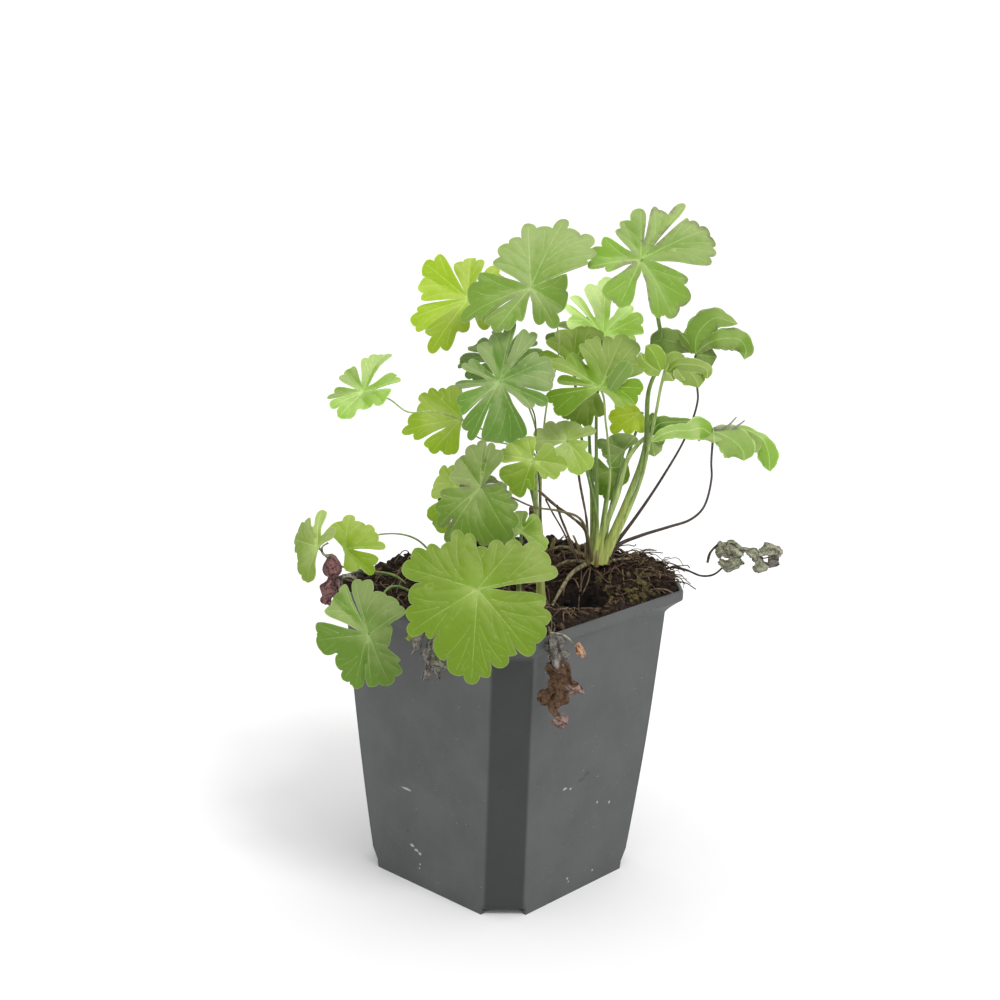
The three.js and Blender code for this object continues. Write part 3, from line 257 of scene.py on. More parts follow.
         tips=[(-140, 14), (-124, 15), (-92, 15), (-76, 16), (-42, 16), (-26, 17), (-4, 17), (12, 18),
               (34, 16), (50, 16), (80, 15), (98, 15), (126, 14), (142, 13)],
         cuts=[(-108, 4, 8), (-59, 4, 8), (-15, 4, 7), (23, 4, 7), (65, 4, 8), (112, 4, 8)],
         base=(13.5, 22.4, 100)),
    dict(name="leaf_back_mid", tone="fresh", knot=(27, 42, 175), faces=(170, 45), droop=18,
         tips=[(-142, 13), (-124, 15), (-94, 16), (-78, 16), (-44, 17), (-28, 17), (-6, 18), (11, 18),
               (33, 17), (51, 16), (78, 16), (95, 15), (125, 14), (140, 13)],
         cuts=[(-109, 5, 8), (-61, 4, 8), (-17, 4, 7), (22, 4, 7), (65, 4, 8), (110, 5, 8)],
         base=(29, 9, 107)),
    dict(name="leaf_back_low", tone="sage", knot=(-14, 40, 122), faces=(200, 50), droop=18,
         tips=[(-140, 11), (-122, 12), (-92, 13), (-75, 14), (-42, 14), (-25, 14), (-5, 15), (12, 15),
               (34, 14), (51, 13), (80, 13), (97, 12), (124, 12), (141, 11)],
         cuts=[(-107, 4, 8), (-58, 3, 8), (-15, 3, 7), (23, 3, 7), (65, 3, 8), (110, 4, 8)],
         base=(9, 21, 100)),
]

CUP = 10                 # degrees that a blade rises from its knot before it droops
WIDEST_LOBE = 26         # half angle of a lobe with no close neighbour
OPEN_CUT = 0.14          # the open side comes this near the knot
DEEP_CUT = 0.62          # a cut that ends nearer than this parts two main lobes
STALK_FOOT, STALK_TIP = 0.95, 0.5    # stalk radii
NOTCH = 0.16             # depth of a shallow notch, as a share of the distance between its tips
DEEPEST_NOTCH = 0.05     # and at most this share of their reach
WAIST = 0.06             # how much a lobe narrows towards the knot
PLEAT = 0.14             # how deep each main lobe folds along its rib
SHOULDER = 0.7           # where the side of a lobe rounds over into its tip
TOOTH_DEPTH = 0.035      # of the reach
MESH_STEP = 0.8          # distance between a blade's points
ROW_HEIGHT = 0.866       # of even triangles, in their sides
RIB_FOOT, RIB_TIP = 0.3, 0.12        # half widths of the ribs
NET_PITCH = 4.2          # distance between side veins
QUILT = 0.2              # how far the blade swells between its veins
RIB_SPREAD = 56          # one main rib serves the tips within this angle
FORK_GAP = 1.35          # a side rib shows from this far off its main rib
RIB_END = 0.93           # share of the reach at which a rib ends
TOOTH_SIZE = 4.6         # between the teeth of a full-grown leaf
STRIP_COLUMNS = 15       # points across a hanging lobe
STRIP_SPREAD = 1.25      # a hanging lobe is arched, so it is wider than it looks
STRIP_ARCH = 0.3         # how far its sides bend back, as a share of its half width
LEAN = 13                # degrees that a lobe may tilt about its rib
SAG = 0.09               # how far a lobe may rise or sink, as a share of its reach
HOOK = 0.16              # how far its end bends down
LOBE_TONE = 0.17         # how far lobes of one leaf differ in tone
PAINTED_LIGHT = 2.4              # painted light: how much paler a part of a blade is painted where it faces the light
PAINTED_LIGHT_WAY = (0.5, -0.15, 0.85)       # where that painted light comes from

WHITE = (1.0, 1.0, 1.0)
WARM = (0.48, 0.55, 0.03)            # a yellowing leaf
DRY_RIM = (0.11, 0.085, 0.075)       # its dried edge
UNDERSIDE = (0.36, 0.46, 0.24)
DEEP_AND_SHADED = (0.74, 0.8, 0.32)           # a leaf's deep parts, against its tone: painted shade on parts that face away from the light and on the downhill side, and random deeper patches
PALE_AND_LIT = (0.19, 0.2, 0.085)           # what a leaf's pale parts gain: painted light on parts that face the light and on the uphill side, and random paler patches

# Crowns: at and size of the woody base, and what grows on it. roots and dead
# stems are (route, radius), scales are (place, heading, length, width).
CROWNS = [
    dict(name="crown_main", at=(30, 9.5, 101), size=(6.5, 5, 4.5), seed=3,
         roots=[([(28, 5, 107), (22, -1, 105), (18, -8, 101), (15, -13, 97)], 0.85),
                ([(32, 5, 107), (40, 8, 107.5), (47, 14, 106)], 0.6),
                ([(27, 7, 108), (19, 12, 110), (12, 14, 107)], 0.75),
                ([(27, 5, 107), (20, 6, 106.5), (13, 4, 103)], 0.7)],
         scales=[((30, 3, 106), -95, 6, 1.3), ((34, 6, 106), -30, 7, 1.2), ((27, 5, 107), -140, 7, 1.3),
                 ((25, 9, 107), 180, 8, 1.2), ((32, 9, 107), 40, 7, 1.1)],
         dead=[([(27, 3, 107), (26.5, 2, 119), (25.5, 0, 125.5), (24.5, -1, 130), (23, -2, 137),
                (22, -3, 143.5)], 0.42),
               ([(27, 3, 110), (25.5, 0, 119.5), (20, -4, 125.5), (15, -8, 130), (9.5, -13, 136)], 0.5),
               ([(24, 4, 107), (18, 0, 119.5), (14.5, -3, 126), (12, -5, 131)], 0.3),
               ([(24, 5, 107), (19.5, 4, 118), (17.5, 2, 123), (16, 1, 127.5)], 0.42),
               ([(33, 5, 109), (38.5, 5, 123), (41, 5, 132), (44, 5, 143)], 0.26)]),
    dict(name="crown_side", at=(13, 16, 100.5), size=(7, 6.5, 6), seed=8,
         roots=[([(13, 15, 105), (6, 13, 105), (-2, 12, 100)], 0.8)],
         scales=[((12, 12.5, 104), -100, 7, 1.3), ((10, 14, 104), -130, 7, 1.2),
                 ((15, 15, 105), -60, 8, 1.2)],
         dead=[([(13, 12, 103), (10, 8, 110), (8, 2, 118), (7.5, -6, 128)], 0.9)]),
]

# Dead growth. scraps of leaf are (route down the middle, width, tone), twigs (route, radius, tone).
DEAD_GROWTH = [
    dict(name="withered_brown", seed=31,
         twigs=[([(12, -42, 95), (13, -48, 101.5), (13.5, -53.5, 101), (14, -55, 97)], 0.4, "dead_stem"),
                ([(13.5, -53, 101.5), (18, -54, 101), (22.5, -54.2, 96.5)], 0.3, "olive")],
         scraps=[([(13.5, -54, 100), (15.5, -55, 95.5), (16.5, -55.3, 90)], 9, "grey"),
                 ([(13, -54.8, 92), (18, -56, 88.5), (17, -56, 83.5), (14, -55.5, 79.5)], 7, "brown"),
                 ([(16, -56, 84), (12.5, -55.5, 81), (11, -55, 79)], 5.5, "brown"),
                 ([(17.5, -56, 86.5), (21.5, -56, 84.5), (24.5, -55.5, 83)], 4.5, "pink"),
                 ([(14, -55.5, 80.5), (15.5, -55.5, 76.5), (17.5, -55.5, 74)], 2.2, "brown"),
                 ([(15.5, -55.5, 74.5), (19, -55.5, 72)], 4.5, "pink"),
                 ([(21.8, -54.3, 98.5), (23.6, -54.3, 94.5)], 2.6, "orange")]),
    dict(name="withered_grey", seed=32,
         twigs=[([(-21, -30, 95), (-22, -37, 101.5), (-23, -42.5, 101.5),
                 (-24, -44, 97)], 0.4, "dead_stem")],
         scraps=[([(-30.5, -43.5, 94.5), (-27, -44, 98), (-23.5, -43.5, 100.5)], 2.8, "lime"),
                 ([(-26, -44, 99), (-27.5, -45, 94), (-29, -44.5, 90)], 2.2, "grey"),
                 ([(-23, -44, 99), (-23.5, -45.5, 92), (-24, -45, 85), (-25, -44.5, 82)], 3.4, "grey"),
                 ([(-21, -44, 98), (-20.5, -45, 91), (-21.5, -45, 85), (-20, -44.5, 82.5)], 3, "grey"),
                 ([(-23, -45, 92), (-21, -46, 88), (-18.5, -45, 86)], 2.6, "olive")]),
    dict(name="withered_spray", slot="withered_olive", seed=33,
         twigs=[([(50, 9, 102), (55, 6, 105.5), (60, 2, 106), (65, -1, 105), (69, -2, 106),
                 (73, -2, 110)], 0.42, "black"),
                ([(66.5, -2, 110), (67.3, -2, 113.5), (70, -2, 116.3), (74, -2, 116.8),
                 (77, -2, 114.5)], 0.4, "black"),
                ([(76, -2, 114.5), (81, -2, 114.5), (85, -2, 112), (90, -2, 114.5)], 0.25, "black")],
         scraps=[([(69, -2, 113.5), (73, -3, 114.8), (78, -2, 113)], 6, "olive"),
                 ([(70, -3, 110.5), (74, -4, 109.8), (77.5, -3, 111.8)], 5.5, "olive"),
                 ([(78, -2, 114.5), (82, -2, 113.5), (84, -2, 110.5)], 3.6, "olive"),
                 ([(82.5, -2, 110.5), (86.5, -2, 108.3)], 5, "olive"),
                 ([(84, -2, 113.5), (88, -3, 115), (91, -2, 113)], 5, "olive"),
                 ([(86.5, -2, 111), (90, -2, 110.8)], 4.5, "grey")]),
    dict(name="dry_bud", seed=34,
         twigs=[([(-42, -4, 94), (-44, -9, 102), (-49, -16, 104.5),
                 (-54, -20.5, 107)], 0.45, "dead_stem"),
                ([(-56, -21.5, 115), (-59, -21.5, 115), (-59.5, -21.5, 117.5),
                 (-57.5, -21.5, 119)], 0.4, "olive"),
                ([(-53, -21.5, 108), (-50, -21.5, 108.2), (-48, -21.5, 106)], 0.6, "olive")],
         scraps=[([(-56, -21.5, 107.5), (-57.5, -22, 103), (-58, -22, 98)], 4.5, "bud"),
                 ([(-54, -21.5, 107), (-53.5, -22, 103.5), (-52.5, -22, 101)], 3, "pink")],
         bud=((-56.2, -21.2, 111.2), (2.7, 2.5, 3.9))),
]

TORN = 0.5               # how far a dry scrap's edge is torn, as a share of its half width
SCRAP_STEP = 0.55        # between the points of a dry scrap
SCRAP_THICK = 0.26
SCALE_THICK = 0.22       # of the papery scales round the stalks' feet
POT = dict(height=100, rim_half=45, rim_corner=6.3, rim_depth=3.5, wall_top_half=41.9, wall_top=92.7,
           base_half=34.6, corner=8.8, foot_corner=10.4, foot_height=2.4, slant_height=7.6, wall=1.2,
           skirt=1.4)
DRAIN_HOLES = [(24, 5, 45), (21, 2.8, 0)]            # reach, radius and first turn of each four
HOLE_POINTS = 28         # round a drain hole
BEND_POINTS, SIDE_POINTS = 5, 7      # round a corner of the pot, and between two corners
SOIL_EDGE = 98           # height of the peat away from its heaps
SOIL_LOW = 87            # the bottom of its hollow
SOIL_WAIST, SOIL_UNDER = 92.5, 84    # where the peat meets the walls, and where it stops
POT_SWELL = 0.5          # how far the peat pushes the walls out
# Scuffs and specks on the pot's walls, and dents in its rim band drawn as painted shade: place, reach along
# each axis, and tone (1 pale, 0 dark).
POT_MARKS = [
    ((-6.6, -36, 14.5), (1.0, 2, 0.7), 1), ((-4.7, -36, 13.4), (1.1, 2, 0.6), 1),
    ((-3.1, -36, 12.6), (0.8, 2, 0.6), 1), ((-7.8, -38, 35.1), (2.4, 2, 0.5), 1),
    ((-3.3, -35.5, 8.5), (0.4, 2, 0.4), 1), ((-3.7, -35.5, 6.9), (0.3, 2, 0.4), 1),
    ((38.5, -11.4, 41.7), (2, 1.2, 0.5), 1), ((38.3, -8.4, 40.9), (2, 0.6, 0.5), 1),
    ((37.5, 6.7, 31.2), (2, 0.5, 0.5), 1), ((37.3, 13.3, 29.1), (2, 0.6, 0.6), 1),
    ((35.2, -4.6, 6.4), (2, 0.5, 0.5), 1), ((35.2, -3.8, 5), (2, 0.4, 0.4), 1),
    ((35.2, 8.6, 4.9), (2, 0.5, 0.4), 1), ((-8.2, -36.5, 19.3), (0.8, 2, 0.7), 0),
    ((38.4, -3.3, 42.5), (2, 2.2, 1), 0), ((38.5, -0.6, 44), (2, 1.7, 0.9), 0),
    # Dents in the rim band, painted as dark shade.
    ((45, 12.8, 96.9), (1.5, 0.5, 1.1), 0), ((45, 17.5, 97), (1.5, 0.5, 0.9), 0),
    ((45, 21.7, 96.6), (1.5, 0.4, 1), 0),
]
# Heaps and dips of the peat: place, width, height.
HEAPS = [((29, 12), 12, 8), ((22, 42), 20, 7), ((49, 13), 14, 8), ((-30, 18), 16, 4), ((23, -7), 8, -18)]
HOLLOW = ((24, -10), (9, 12))        # the hollow's painted shadow: its middle, and its reach to the side and to the back
PEAT_STEP, PEAT_RIM_STEP = 0.85, 1.0     # between the points of its surface, and along its rim
FRINGE = dict(at=(50, 12), spread=(8, 13), length=(4, 13))           # fine roots at the right corner
MOSS_AT = ((42, -8), (13, 8))        # where most of the moss is, and how far it spreads

CAMERA = dict(bearing=42.45, lift=14.83, distance=600, focus=1815.8, roll=1.55, target=(-2.19, -1.89, 129.0))
FILM, RENDER = 36, 1000              # width of the film in millimetres, and of the render in points
SUN = (0.6, 1.2, 1.15)               # where it stands: to the right, up and towards the camera
FLOOR_HALF = 30.0                    # metres


# ---- Shape tools ----------------------------------------------------------


def turned(points):
    """Points of the plant's own frame, in the pot's frame."""
    points = np.asarray(points, float)
    x, y, z = points[..., 0], points[..., 1], points[..., 2]
    return np.stack([x * TURN_COS - y * TURN_SIN, x * TURN_SIN + y * TURN_COS, z], axis=-1)


def turned_back(places):
    """How far to the right and to the back places of the pot's frame lie in the plant's own."""
    x, y = places[:, 0], places[:, 1]
    return x * TURN_COS + y * TURN_SIN, y * TURN_COS - x * TURN_SIN


def ramp(value, low, high):
    """0 at low, 1 at high, smooth between."""
    t = np.clip((value - low) / (high - low), 0, 1)
    return t * t * (3 - 2 * t)


def unit(vectors):
    """Vectors made one long."""
    return vectors / np.maximum(np.linalg.norm(vectors, axis=-1, keepdims=True), 1e-9)


class Grain:
    """Smooth random values in space: a seeded lattice, blended between its corners."""

    SIDE = 32

    def __init__(self, seed):
        self.lattice = np.random.default_rng(seed).random((self.SIDE,) * 3) * 2 - 1

    def __call__(self, points, size):
        """One value from -1 to 1 for each point, with lumps about size across."""
        cell = np.asarray(points, float) / size
        low = np.floor(cell).astype(int)
        t = cell - low
        t = t * t * (3 - 2 * t)
        total = 0
        for corner in np.ndindex(2, 2, 2):
            weight = np.prod(np.where(corner, t, 1 - t), axis=-1)
            i, j, k = np.moveaxis((low + corner) % self.SIDE, -1, 0)
            total = total + weight * self.lattice[i, j, k]
        return total

    def layered(self, points, size, layers=3):
        """Several sizes at once, each half as wide and high as the last."""
        return sum(self(points + 7.3 * k, size / 2**k) / 2**k for k in range(layers))


def gone_along(line):
    """How far along a line each of its places is."""
    return np.concatenate([[0], np.cumsum(np.linalg.norm(np.diff(line, axis=0), axis=1))])


def even(line, step, least=2):
    """A line with its places about a step apart."""
    gone = gone_along(line)
    at = np.linspace(0, gone[-1], max(least, round(gone[-1] / step) + 1))
    return np.stack([np.interp(at, gone, line[:, axis]) for axis in range(line.shape[1])], axis=-1)


def smooth_route(points, spacing):
    """A centripetal Catmull-Rom curve through the points, sampled evenly."""
    points = np.asarray(points, float)
    ends = np.vstack([2 * points[0] - points[1], points, 2 * points[-1] - points[-2]])
    t = np.linspace(0, 1, 40, endpoint=False)[:, None]
    fine = []
    for p0, p1, p2, p3 in zip(ends, ends[1:], ends[2:], ends[3:]):
        d0, d1, d2 = (math.sqrt(np.linalg.norm(b - a)) for a, b in ((p0, p1), (p1, p2), (p2, p3)))
        t1 = d1 * ((p1 - p0) / d0 - (p2 - p0) / (d0 + d1) + (p2 - p1) / d1)
        t2 = d1 * ((p2 - p1) / d1 - (p3 - p1) / (d1 + d2) + (p3 - p2) / d2)
        square, cube = 3 * (p2 - p1) - 2 * t1 - t2, 2 * (p1 - p2) + t1 + t2
        fine.append(p1 + t1 * t + square * t**2 + cube * t**3)
    return even(np.vstack([*fine, points[-1:]]), spacing, 4)


def ring_faces(rings, around):
    """The four-sided faces between rings of points that follow each other."""
    faces = []
    for here in range(0, (rings - 1) * around, around):
        after = here + around
        for i in range(around):
            j = (i + 1) % around
            faces.append((here + i, here + j, after + j, after + i))
    return faces


def woven(rows, columns, over=False):
    """The triangles of a sheet whose points run row by row, seen from one side or the other."""
    faces = []
    for row in range(rows - 1):
        for column in range(columns - 1):
            a = row * columns + column
            b, c, d = a + 1, a + 1 + columns, a + columns
            faces += [(a, d, c), (a, c, b)] if over else [(a, b, c), (a, c, d)]
    return np.array(faces)


def tube(path, radii, sides=8):
    """A closed tube along a path: its points, its faces, and each point's share of the way."""
    tangents = unit(np.gradient(path, axis=0))
    side = np.cross(tangents[0], [0.3, 0.5, 0.8])
    turn = np.linspace(0, 2 * math.pi, sides, endpoint=False)
    rings = []
    for centre, tangent, radius in zip(path, tangents, np.broadcast_to(radii, len(path))):
        side = unit(side - tangent * np.dot(side, tangent))
        other = np.cross(tangent, side)
        rings.append(centre + radius * (np.outer(np.cos(turn), side) + np.outer(np.sin(turn), other)))
    faces = ring_faces(len(path), sides)
    last = (len(path) - 1) * sides
    faces.append(tuple(range(sides - 1, -1, -1)))
    faces.append(tuple(range(last, last + sides)))
    return np.vstack(rings), faces, np.repeat(np.linspace(0, 1, len(path)), sides)


def corner_normals(points, triangles):
    """The mean facing of the triangles round each point."""
    a, b, c = (points[triangles[:, k]] for k in range(3))
    face = np.cross(b - a, c - a)
    normals = np.zeros_like(points)
    for k in range(3):
        np.add.at(normals, triangles[:, k], face)
    return unit(normals)


def open_edges(triangles):
    """The edges that only one triangle has, in the order that it has them."""
    used = {edge for a, b, c in triangles.tolist() for edge in ((a, b), (b, c), (c, a))}
    return [(a, b) for a, b in used if (b, a) not in used]


def slab(points, triangles, thickness):
    """Thickens an open sheet evenly to both sides of itself."""
    normals = corner_normals(points, triangles)
    count = len(points)
    both = np.vstack([points + normals * thickness / 2, points - normals * thickness / 2])
    rim = [(b, a, a + count, b + count) for a, b in open_edges(triangles)]
    upper = [tuple(face) for face in triangles.tolist()]
    lower = [tuple(face) for face in (triangles[:, ::-1] + count).tolist()]
    return both, upper + lower + rim


def away(points, starts, ends, widths=1.0):
    """Each point's distance from the nearest of these lines, in widths of that line."""
    run = ends - starts
    size = np.maximum((run**2).sum(-1), 1e-9)
    near = np.full(len(points), 1e9)
    widths = np.broadcast_to(widths, len(starts))
    for part in np.array_split(np.arange(len(points)), max(1, len(points) // 800)):
        offset = points[part][:, None] - starts
        t = np.clip((offset * run).sum(-1) / size, 0, 1)
        gap = np.linalg.norm(offset - t[..., None] * run, axis=-1)
        near[part] = (gap / widths).min(axis=1)
    return near


def pieces_of(lines):
    """The starts and the ends of the straight pieces of several lines."""
    return np.vstack([line[:-1] for line in lines]), np.vstack([line[1:] for line in lines])


def from_edge(points, outline):
    """Each point's distance from a closed outline."""
    return away(points, outline, np.roll(outline, -1, axis=0))


def within(points, outline):
    """Which points lie inside a closed flat outline."""
    x, y = points[:, :1], points[:, 1:2]
    ax, ay = outline.T
    bx, by = np.roll(outline, -1, axis=0).T
    crosses = (ay > y) != (by > y)
    with np.errstate(divide="ignore", invalid="ignore"):
        where = ax + (y - ay) * (bx - ax) / (by - ay)
    return (crosses & (x < where)).sum(axis=1) % 2 == 1


def cut_up(places, lines, outer):
    """Triangles over flat places, with the lines among their edges, inside the first places' loop."""
    made = delaunay_2d_cdt([Vector(place) for place in places.tolist()], lines, [list(range(outer))], 1, 1e-4)
    plan, triangles = np.array([tuple(corner) for corner in made[0]]), np.array(made[2])
    a, b, c = (plan[triangles[:, k]] for k in range(3))
    over = np.cross(b - a, c - a) < 0
    triangles[over] = triangles[over][:, ::-1]
    return plan, triangles


def filled(outline, inner, step, clear, stir=None):
    """Even triangles inside a flat outline, with the inner lines among their edges."""
    count = len(outline)
    lines = [(i, (i + 1) % count) for i in range(count)]
    for line in inner:
        lines += [(count + i, count + i + 1) for i in range(len(line) - 1)]
        count += len(line)
    fixed = np.vstack([outline, *inner])
    low, high = outline.min(axis=0), outline.max(axis=0)
    columns, rows = np.ceil((high - low) / (step, ROW_HEIGHT * step)).astype(int) + 1
    grid = np.array([(low[0] + (i + 0.5 * (j % 2)) * step, low[1] + j * ROW_HEIGHT * step)
                     for j in range(rows) for i in range(columns)])
    grid = grid[within(grid, outline)]
    starts, ends = fixed[[a for a, _ in lines]], fixed[[b for _, b in lines]]
    grid = grid[away(grid, starts, ends) > clear * step]
    if stir:
        grid = grid + stir(grid.shape)
    return cut_up(np.vstack([fixed, grid]), lines, len(outline))


class Build:
    """Collects the bodies of one piece, with values over their points that the materials read."""

    def __init__(self, **widths):
        self.widths = widths
        self.points, self.faces, self.finish = [], [], []
        self.values = {name: [] for name in widths}
        self.count = 0

    def add(self, points, faces, finish=0, **values):
        """Adds a closed body. finish is the index of its material."""
        self.points.append(points)
        self.faces += [tuple(i + self.count for i in face) for face in faces]
        self.finish += [finish] * len(faces)
        for name, width in self.widths.items():
            shape = (len(points),) if width == 1 else (len(points), width)
            self.values[name].append(np.broadcast_to(np.asarray(values.get(name, 0.0), float), shape))
        self.count += len(points)

    def add_tube(self, path, radii, sides, finish, **values):
        """Adds a tube along a path."""
        points, faces, run = tube(path, radii, sides)
        self.add(points, faces, finish, run=run, flat=points, **values)

    def make(self, name, materials, sharp=50):
        """Makes the object, in metres."""
        mesh = bpy.data.meshes.new(name)
        mesh.from_pydata((np.vstack(self.points) * MM).tolist(), [], self.faces)
        for material in materials:
            mesh.materials.append(material)
        mesh.polygons.foreach_set("material_index", self.finish)
        mesh.polygons.foreach_set("use_smooth", [True] * len(mesh.polygons))
        for key, width in self.widths.items():
            kind, field = ("FLOAT", "value") if width == 1 else ("FLOAT_VECTOR", "vector")
            data = np.concatenate(self.values[key]).astype(np.float32)
            mesh.attributes.new(key, kind, "POINT").data.foreach_set(field, data.ravel())
        mesh.update()
        mesh.set_sharp_from_angle(angle=math.radians(sharp))
        piece = bpy.data.objects.new(name, mesh)
        bpy.context.scene.collection.objects.link(piece)
        return piece


# ---- Leaves ---------------------------------------------------------------


def lobes_of(leaf):
    """Lobes in clock order from the leaf's open side, each with its edges."""
    tips = sorted(leaf["tips"])
    count = len(tips)
    gaps = []
    for i, (clock, reach) in enumerate(tips):
        after, other = tips[(i + 1) % count]
        width = (after - clock) % 360
        shorter = min(reach, other)
        notch = min(NOTCH * math.radians(width), DEEPEST_NOTCH) * shorter
        gap = dict(width=width, middle=width / 2, end=shorter - notch, gape=4, deep=False)
        for at, end, gape in leaf["cuts"]:
            if (at - clock) % 360 < width:
                gap.update(middle=(at - clock) % 360, end=end, gape=gape, deep=end < DEEP_CUT * shorter)
        gaps.append(gap)
    last = max(range(count), key=lambda i: gaps[i]["width"] + 30 * gaps[i]["deep"])
    order = [(last + 1 + i) % count for i in range(count)]
    open_side = gaps[last]
    if open_side["width"] > 2 * WIDEST_LOBE:
        open_side.update(end=OPEN_CUT * min(tips[last][1], tips[order[0]][1]))
    lobes, clock, main = [], tips[order[0]][0], 0
    for i in order:
        before, after = gaps[i - 1], gaps[i]
        if lobes:
            clock += before["width"]
            main += before["deep"]
        half = (min(before["width"] - before["middle"], WIDEST_LOBE), min(after["middle"], WIDEST_LOBE))
        lobes.append(dict(clock=clock, reach=tips[i][1], main=main, half=half,
                          notch=(before["end"], after["end"]),
                          gapes=(before["gape"], after["gape"])))
    return lobes


def lobe_edge(lobe, tooth_size, rng):
    """A lobe's edge from its anticlockwise cut to its clockwise one: clock angles and reaches."""
    reach = lobe["reach"]
    across = reach * math.radians(sum(lobe["half"]))
    teeth = max(1, round(across / tooth_size))
    depths = TOOTH_DEPTH * rng.uniform(0.5, 1.5, teeth + 2) * (teeth > 1)
    share = np.linspace(1, 0, 30)
    halves = []
    for sign, half, notch, gape in zip((-1, 1), lobe["half"], lobe["notch"], lobe["gapes"]):
        shoulder = max(notch, SHOULDER * reach)
        deep = shoulder > notch + 0.5
        opening = min(gape / 2, 0.45 * half) * deep
        rise = np.linspace(0, 1, 12) if deep else np.zeros(1)
        waist = WAIST * (shoulder - notch) / reach * np.sin(math.pi * rise)
        edge_clock = half - opening * ramp(rise, 0, 0.5) - half * waist
        edge_reach = notch + (shoulder - notch) * rise
        place = sign * share * teeth / 2
        index = np.round(place).astype(int)
        dent = depths[index + (teeth + 1) // 2] * (1 - np.sqrt(1 - 0.97 * (2 * (place - index)) ** 2))
        dome = np.sqrt(1 - share ** (2.6 if deep else 2))
        cap = shoulder + (reach - shoulder) * dome - reach * dent * (1 - share**8)
        clock = np.concatenate([edge_clock, share * (half - opening)])
        halves.append((sign * clock, np.concatenate([edge_reach, cap])))
    (left, left_reach), (right, right_reach) = halves
    return (lobe["clock"] + np.concatenate([left, right[::-1]]),
            np.concatenate([left_reach, right_reach[::-1]]))


def flat(clock, reach):
    """Places in the blade's plane: across and uphill."""
    turn = np.radians(clock)
    return np.stack([reach * np.sin(turn), reach * np.cos(turn)], axis=-1)


def spaced(loop, step):
    """A closed outline with its points about a step apart, and its sharp notches kept."""
    kept = [loop[0]]
    ahead = np.roll(loop, -1, axis=0)
    for here, after in zip(loop[1:], ahead[1:]):
        gap = np.linalg.norm(here - kept[-1])
        sharp = np.dot(unit(here - kept[-1]), unit(after - here)) < 0.5
        if gap > step or (sharp and gap > 0.25 * step):
            pieces = max(1, round(gap / step))
            kept += [kept[-1] + (here - kept[-1]) * k / pieces for k in range(1, pieces + 1)]
    while np.linalg.norm(kept[-1] - kept[0]) < 0.4 * step:
        kept.pop()
    return np.array(kept)


def facing(leaf):
    """Where a leaf's upper side looks, and the way uphill on it."""
    bearing, lift = (math.radians(angle) for angle in leaf["faces"])
    bearing += math.radians(PLANT_TURN)
    normal = np.array([math.sin(bearing) * math.cos(lift), -math.cos(bearing) * math.cos(lift),
                       math.sin(lift)])
    uphill = np.array([-math.sin(bearing) * math.sin(lift), math.cos(bearing) * math.sin(lift),
                       math.cos(lift)])
    return normal, uphill


class Blade:
    """A leaf's flat plan, and how it bends into place."""

    def __init__(self, leaf, seed=0):
        self.leaf = leaf
        self.rng = np.random.default_rng(seed)
        self.lobes = lobes_of(leaf)
        self.longest = max(lobe["reach"] for lobe in self.lobes)
        self.normal, self.uphill = facing(leaf)
        self.across = np.cross(self.uphill, self.normal)
        self.knot = turned(leaf["knot"])
        self.mains = []
        for main in range(self.lobes[-1]["main"] + 1):
            group = [lobe for lobe in self.lobes if lobe["main"] == main]
            low = group[0]["clock"] - group[0]["half"][0]
            high = group[-1]["clock"] + group[-1]["half"][1]
            self.mains.append(((low + high) / 2, (high - low) / 2))

    def place(self, clock, reach):
        """Bends places of the flat plan: each direction rises by the cup, then droops."""
        clock, reach = np.asarray(clock, float), np.asarray(reach, float)
        middles, halves = np.array(self.mains).T
        cup = math.radians(CUP)
        curl = (math.radians(self.leaf["droop"]) + cup) / self.longest
        out = (np.sin(curl * reach - cup) + math.sin(cup)) / curl
        fall = (math.cos(cup) - np.cos(curl * reach - cup)) / curl
        share = np.abs((clock[..., None] - middles + 540) % 360 - 180) / halves
        main = share.argmin(axis=-1)
        share = np.clip(share.min(axis=-1), 0, 1)
        pleat = PLEAT * np.minimum(1, halves / 45)[main]
        high = pleat * reach * (np.sin(share * math.pi / 2) - 0.6) - fall
        turn = np.radians(clock)[..., None]
        points = (self.knot + out[..., None] * (self.across * np.sin(turn) + self.uphill * np.cos(turn))
                  + high[..., None] * self.normal)
        return points, main

    def plan(self):
        """The flat mesh: its places, its triangles, its outline, its ribs and its side veins."""
        tooth = TOOTH_SIZE * (0.45 + 0.55 * self.longest / 22)
        edges = [lobe_edge(lobe, tooth, self.rng) for lobe in self.lobes]
        clocks, reaches = (np.concatenate(part) for part in zip(*edges))
        outline = spaced(flat(clocks, reaches), MESH_STEP)
        ribs = rib_plan(self.lobes)
        veins = side_veins(ribs, outline, self.rng)
        inner = [even(line, MESH_STEP) for line, _ in ribs] + veins
        plan, triangles = filled(outline, inner, MESH_STEP, 0.5)
        return plan, triangles, outline, ribs, veins


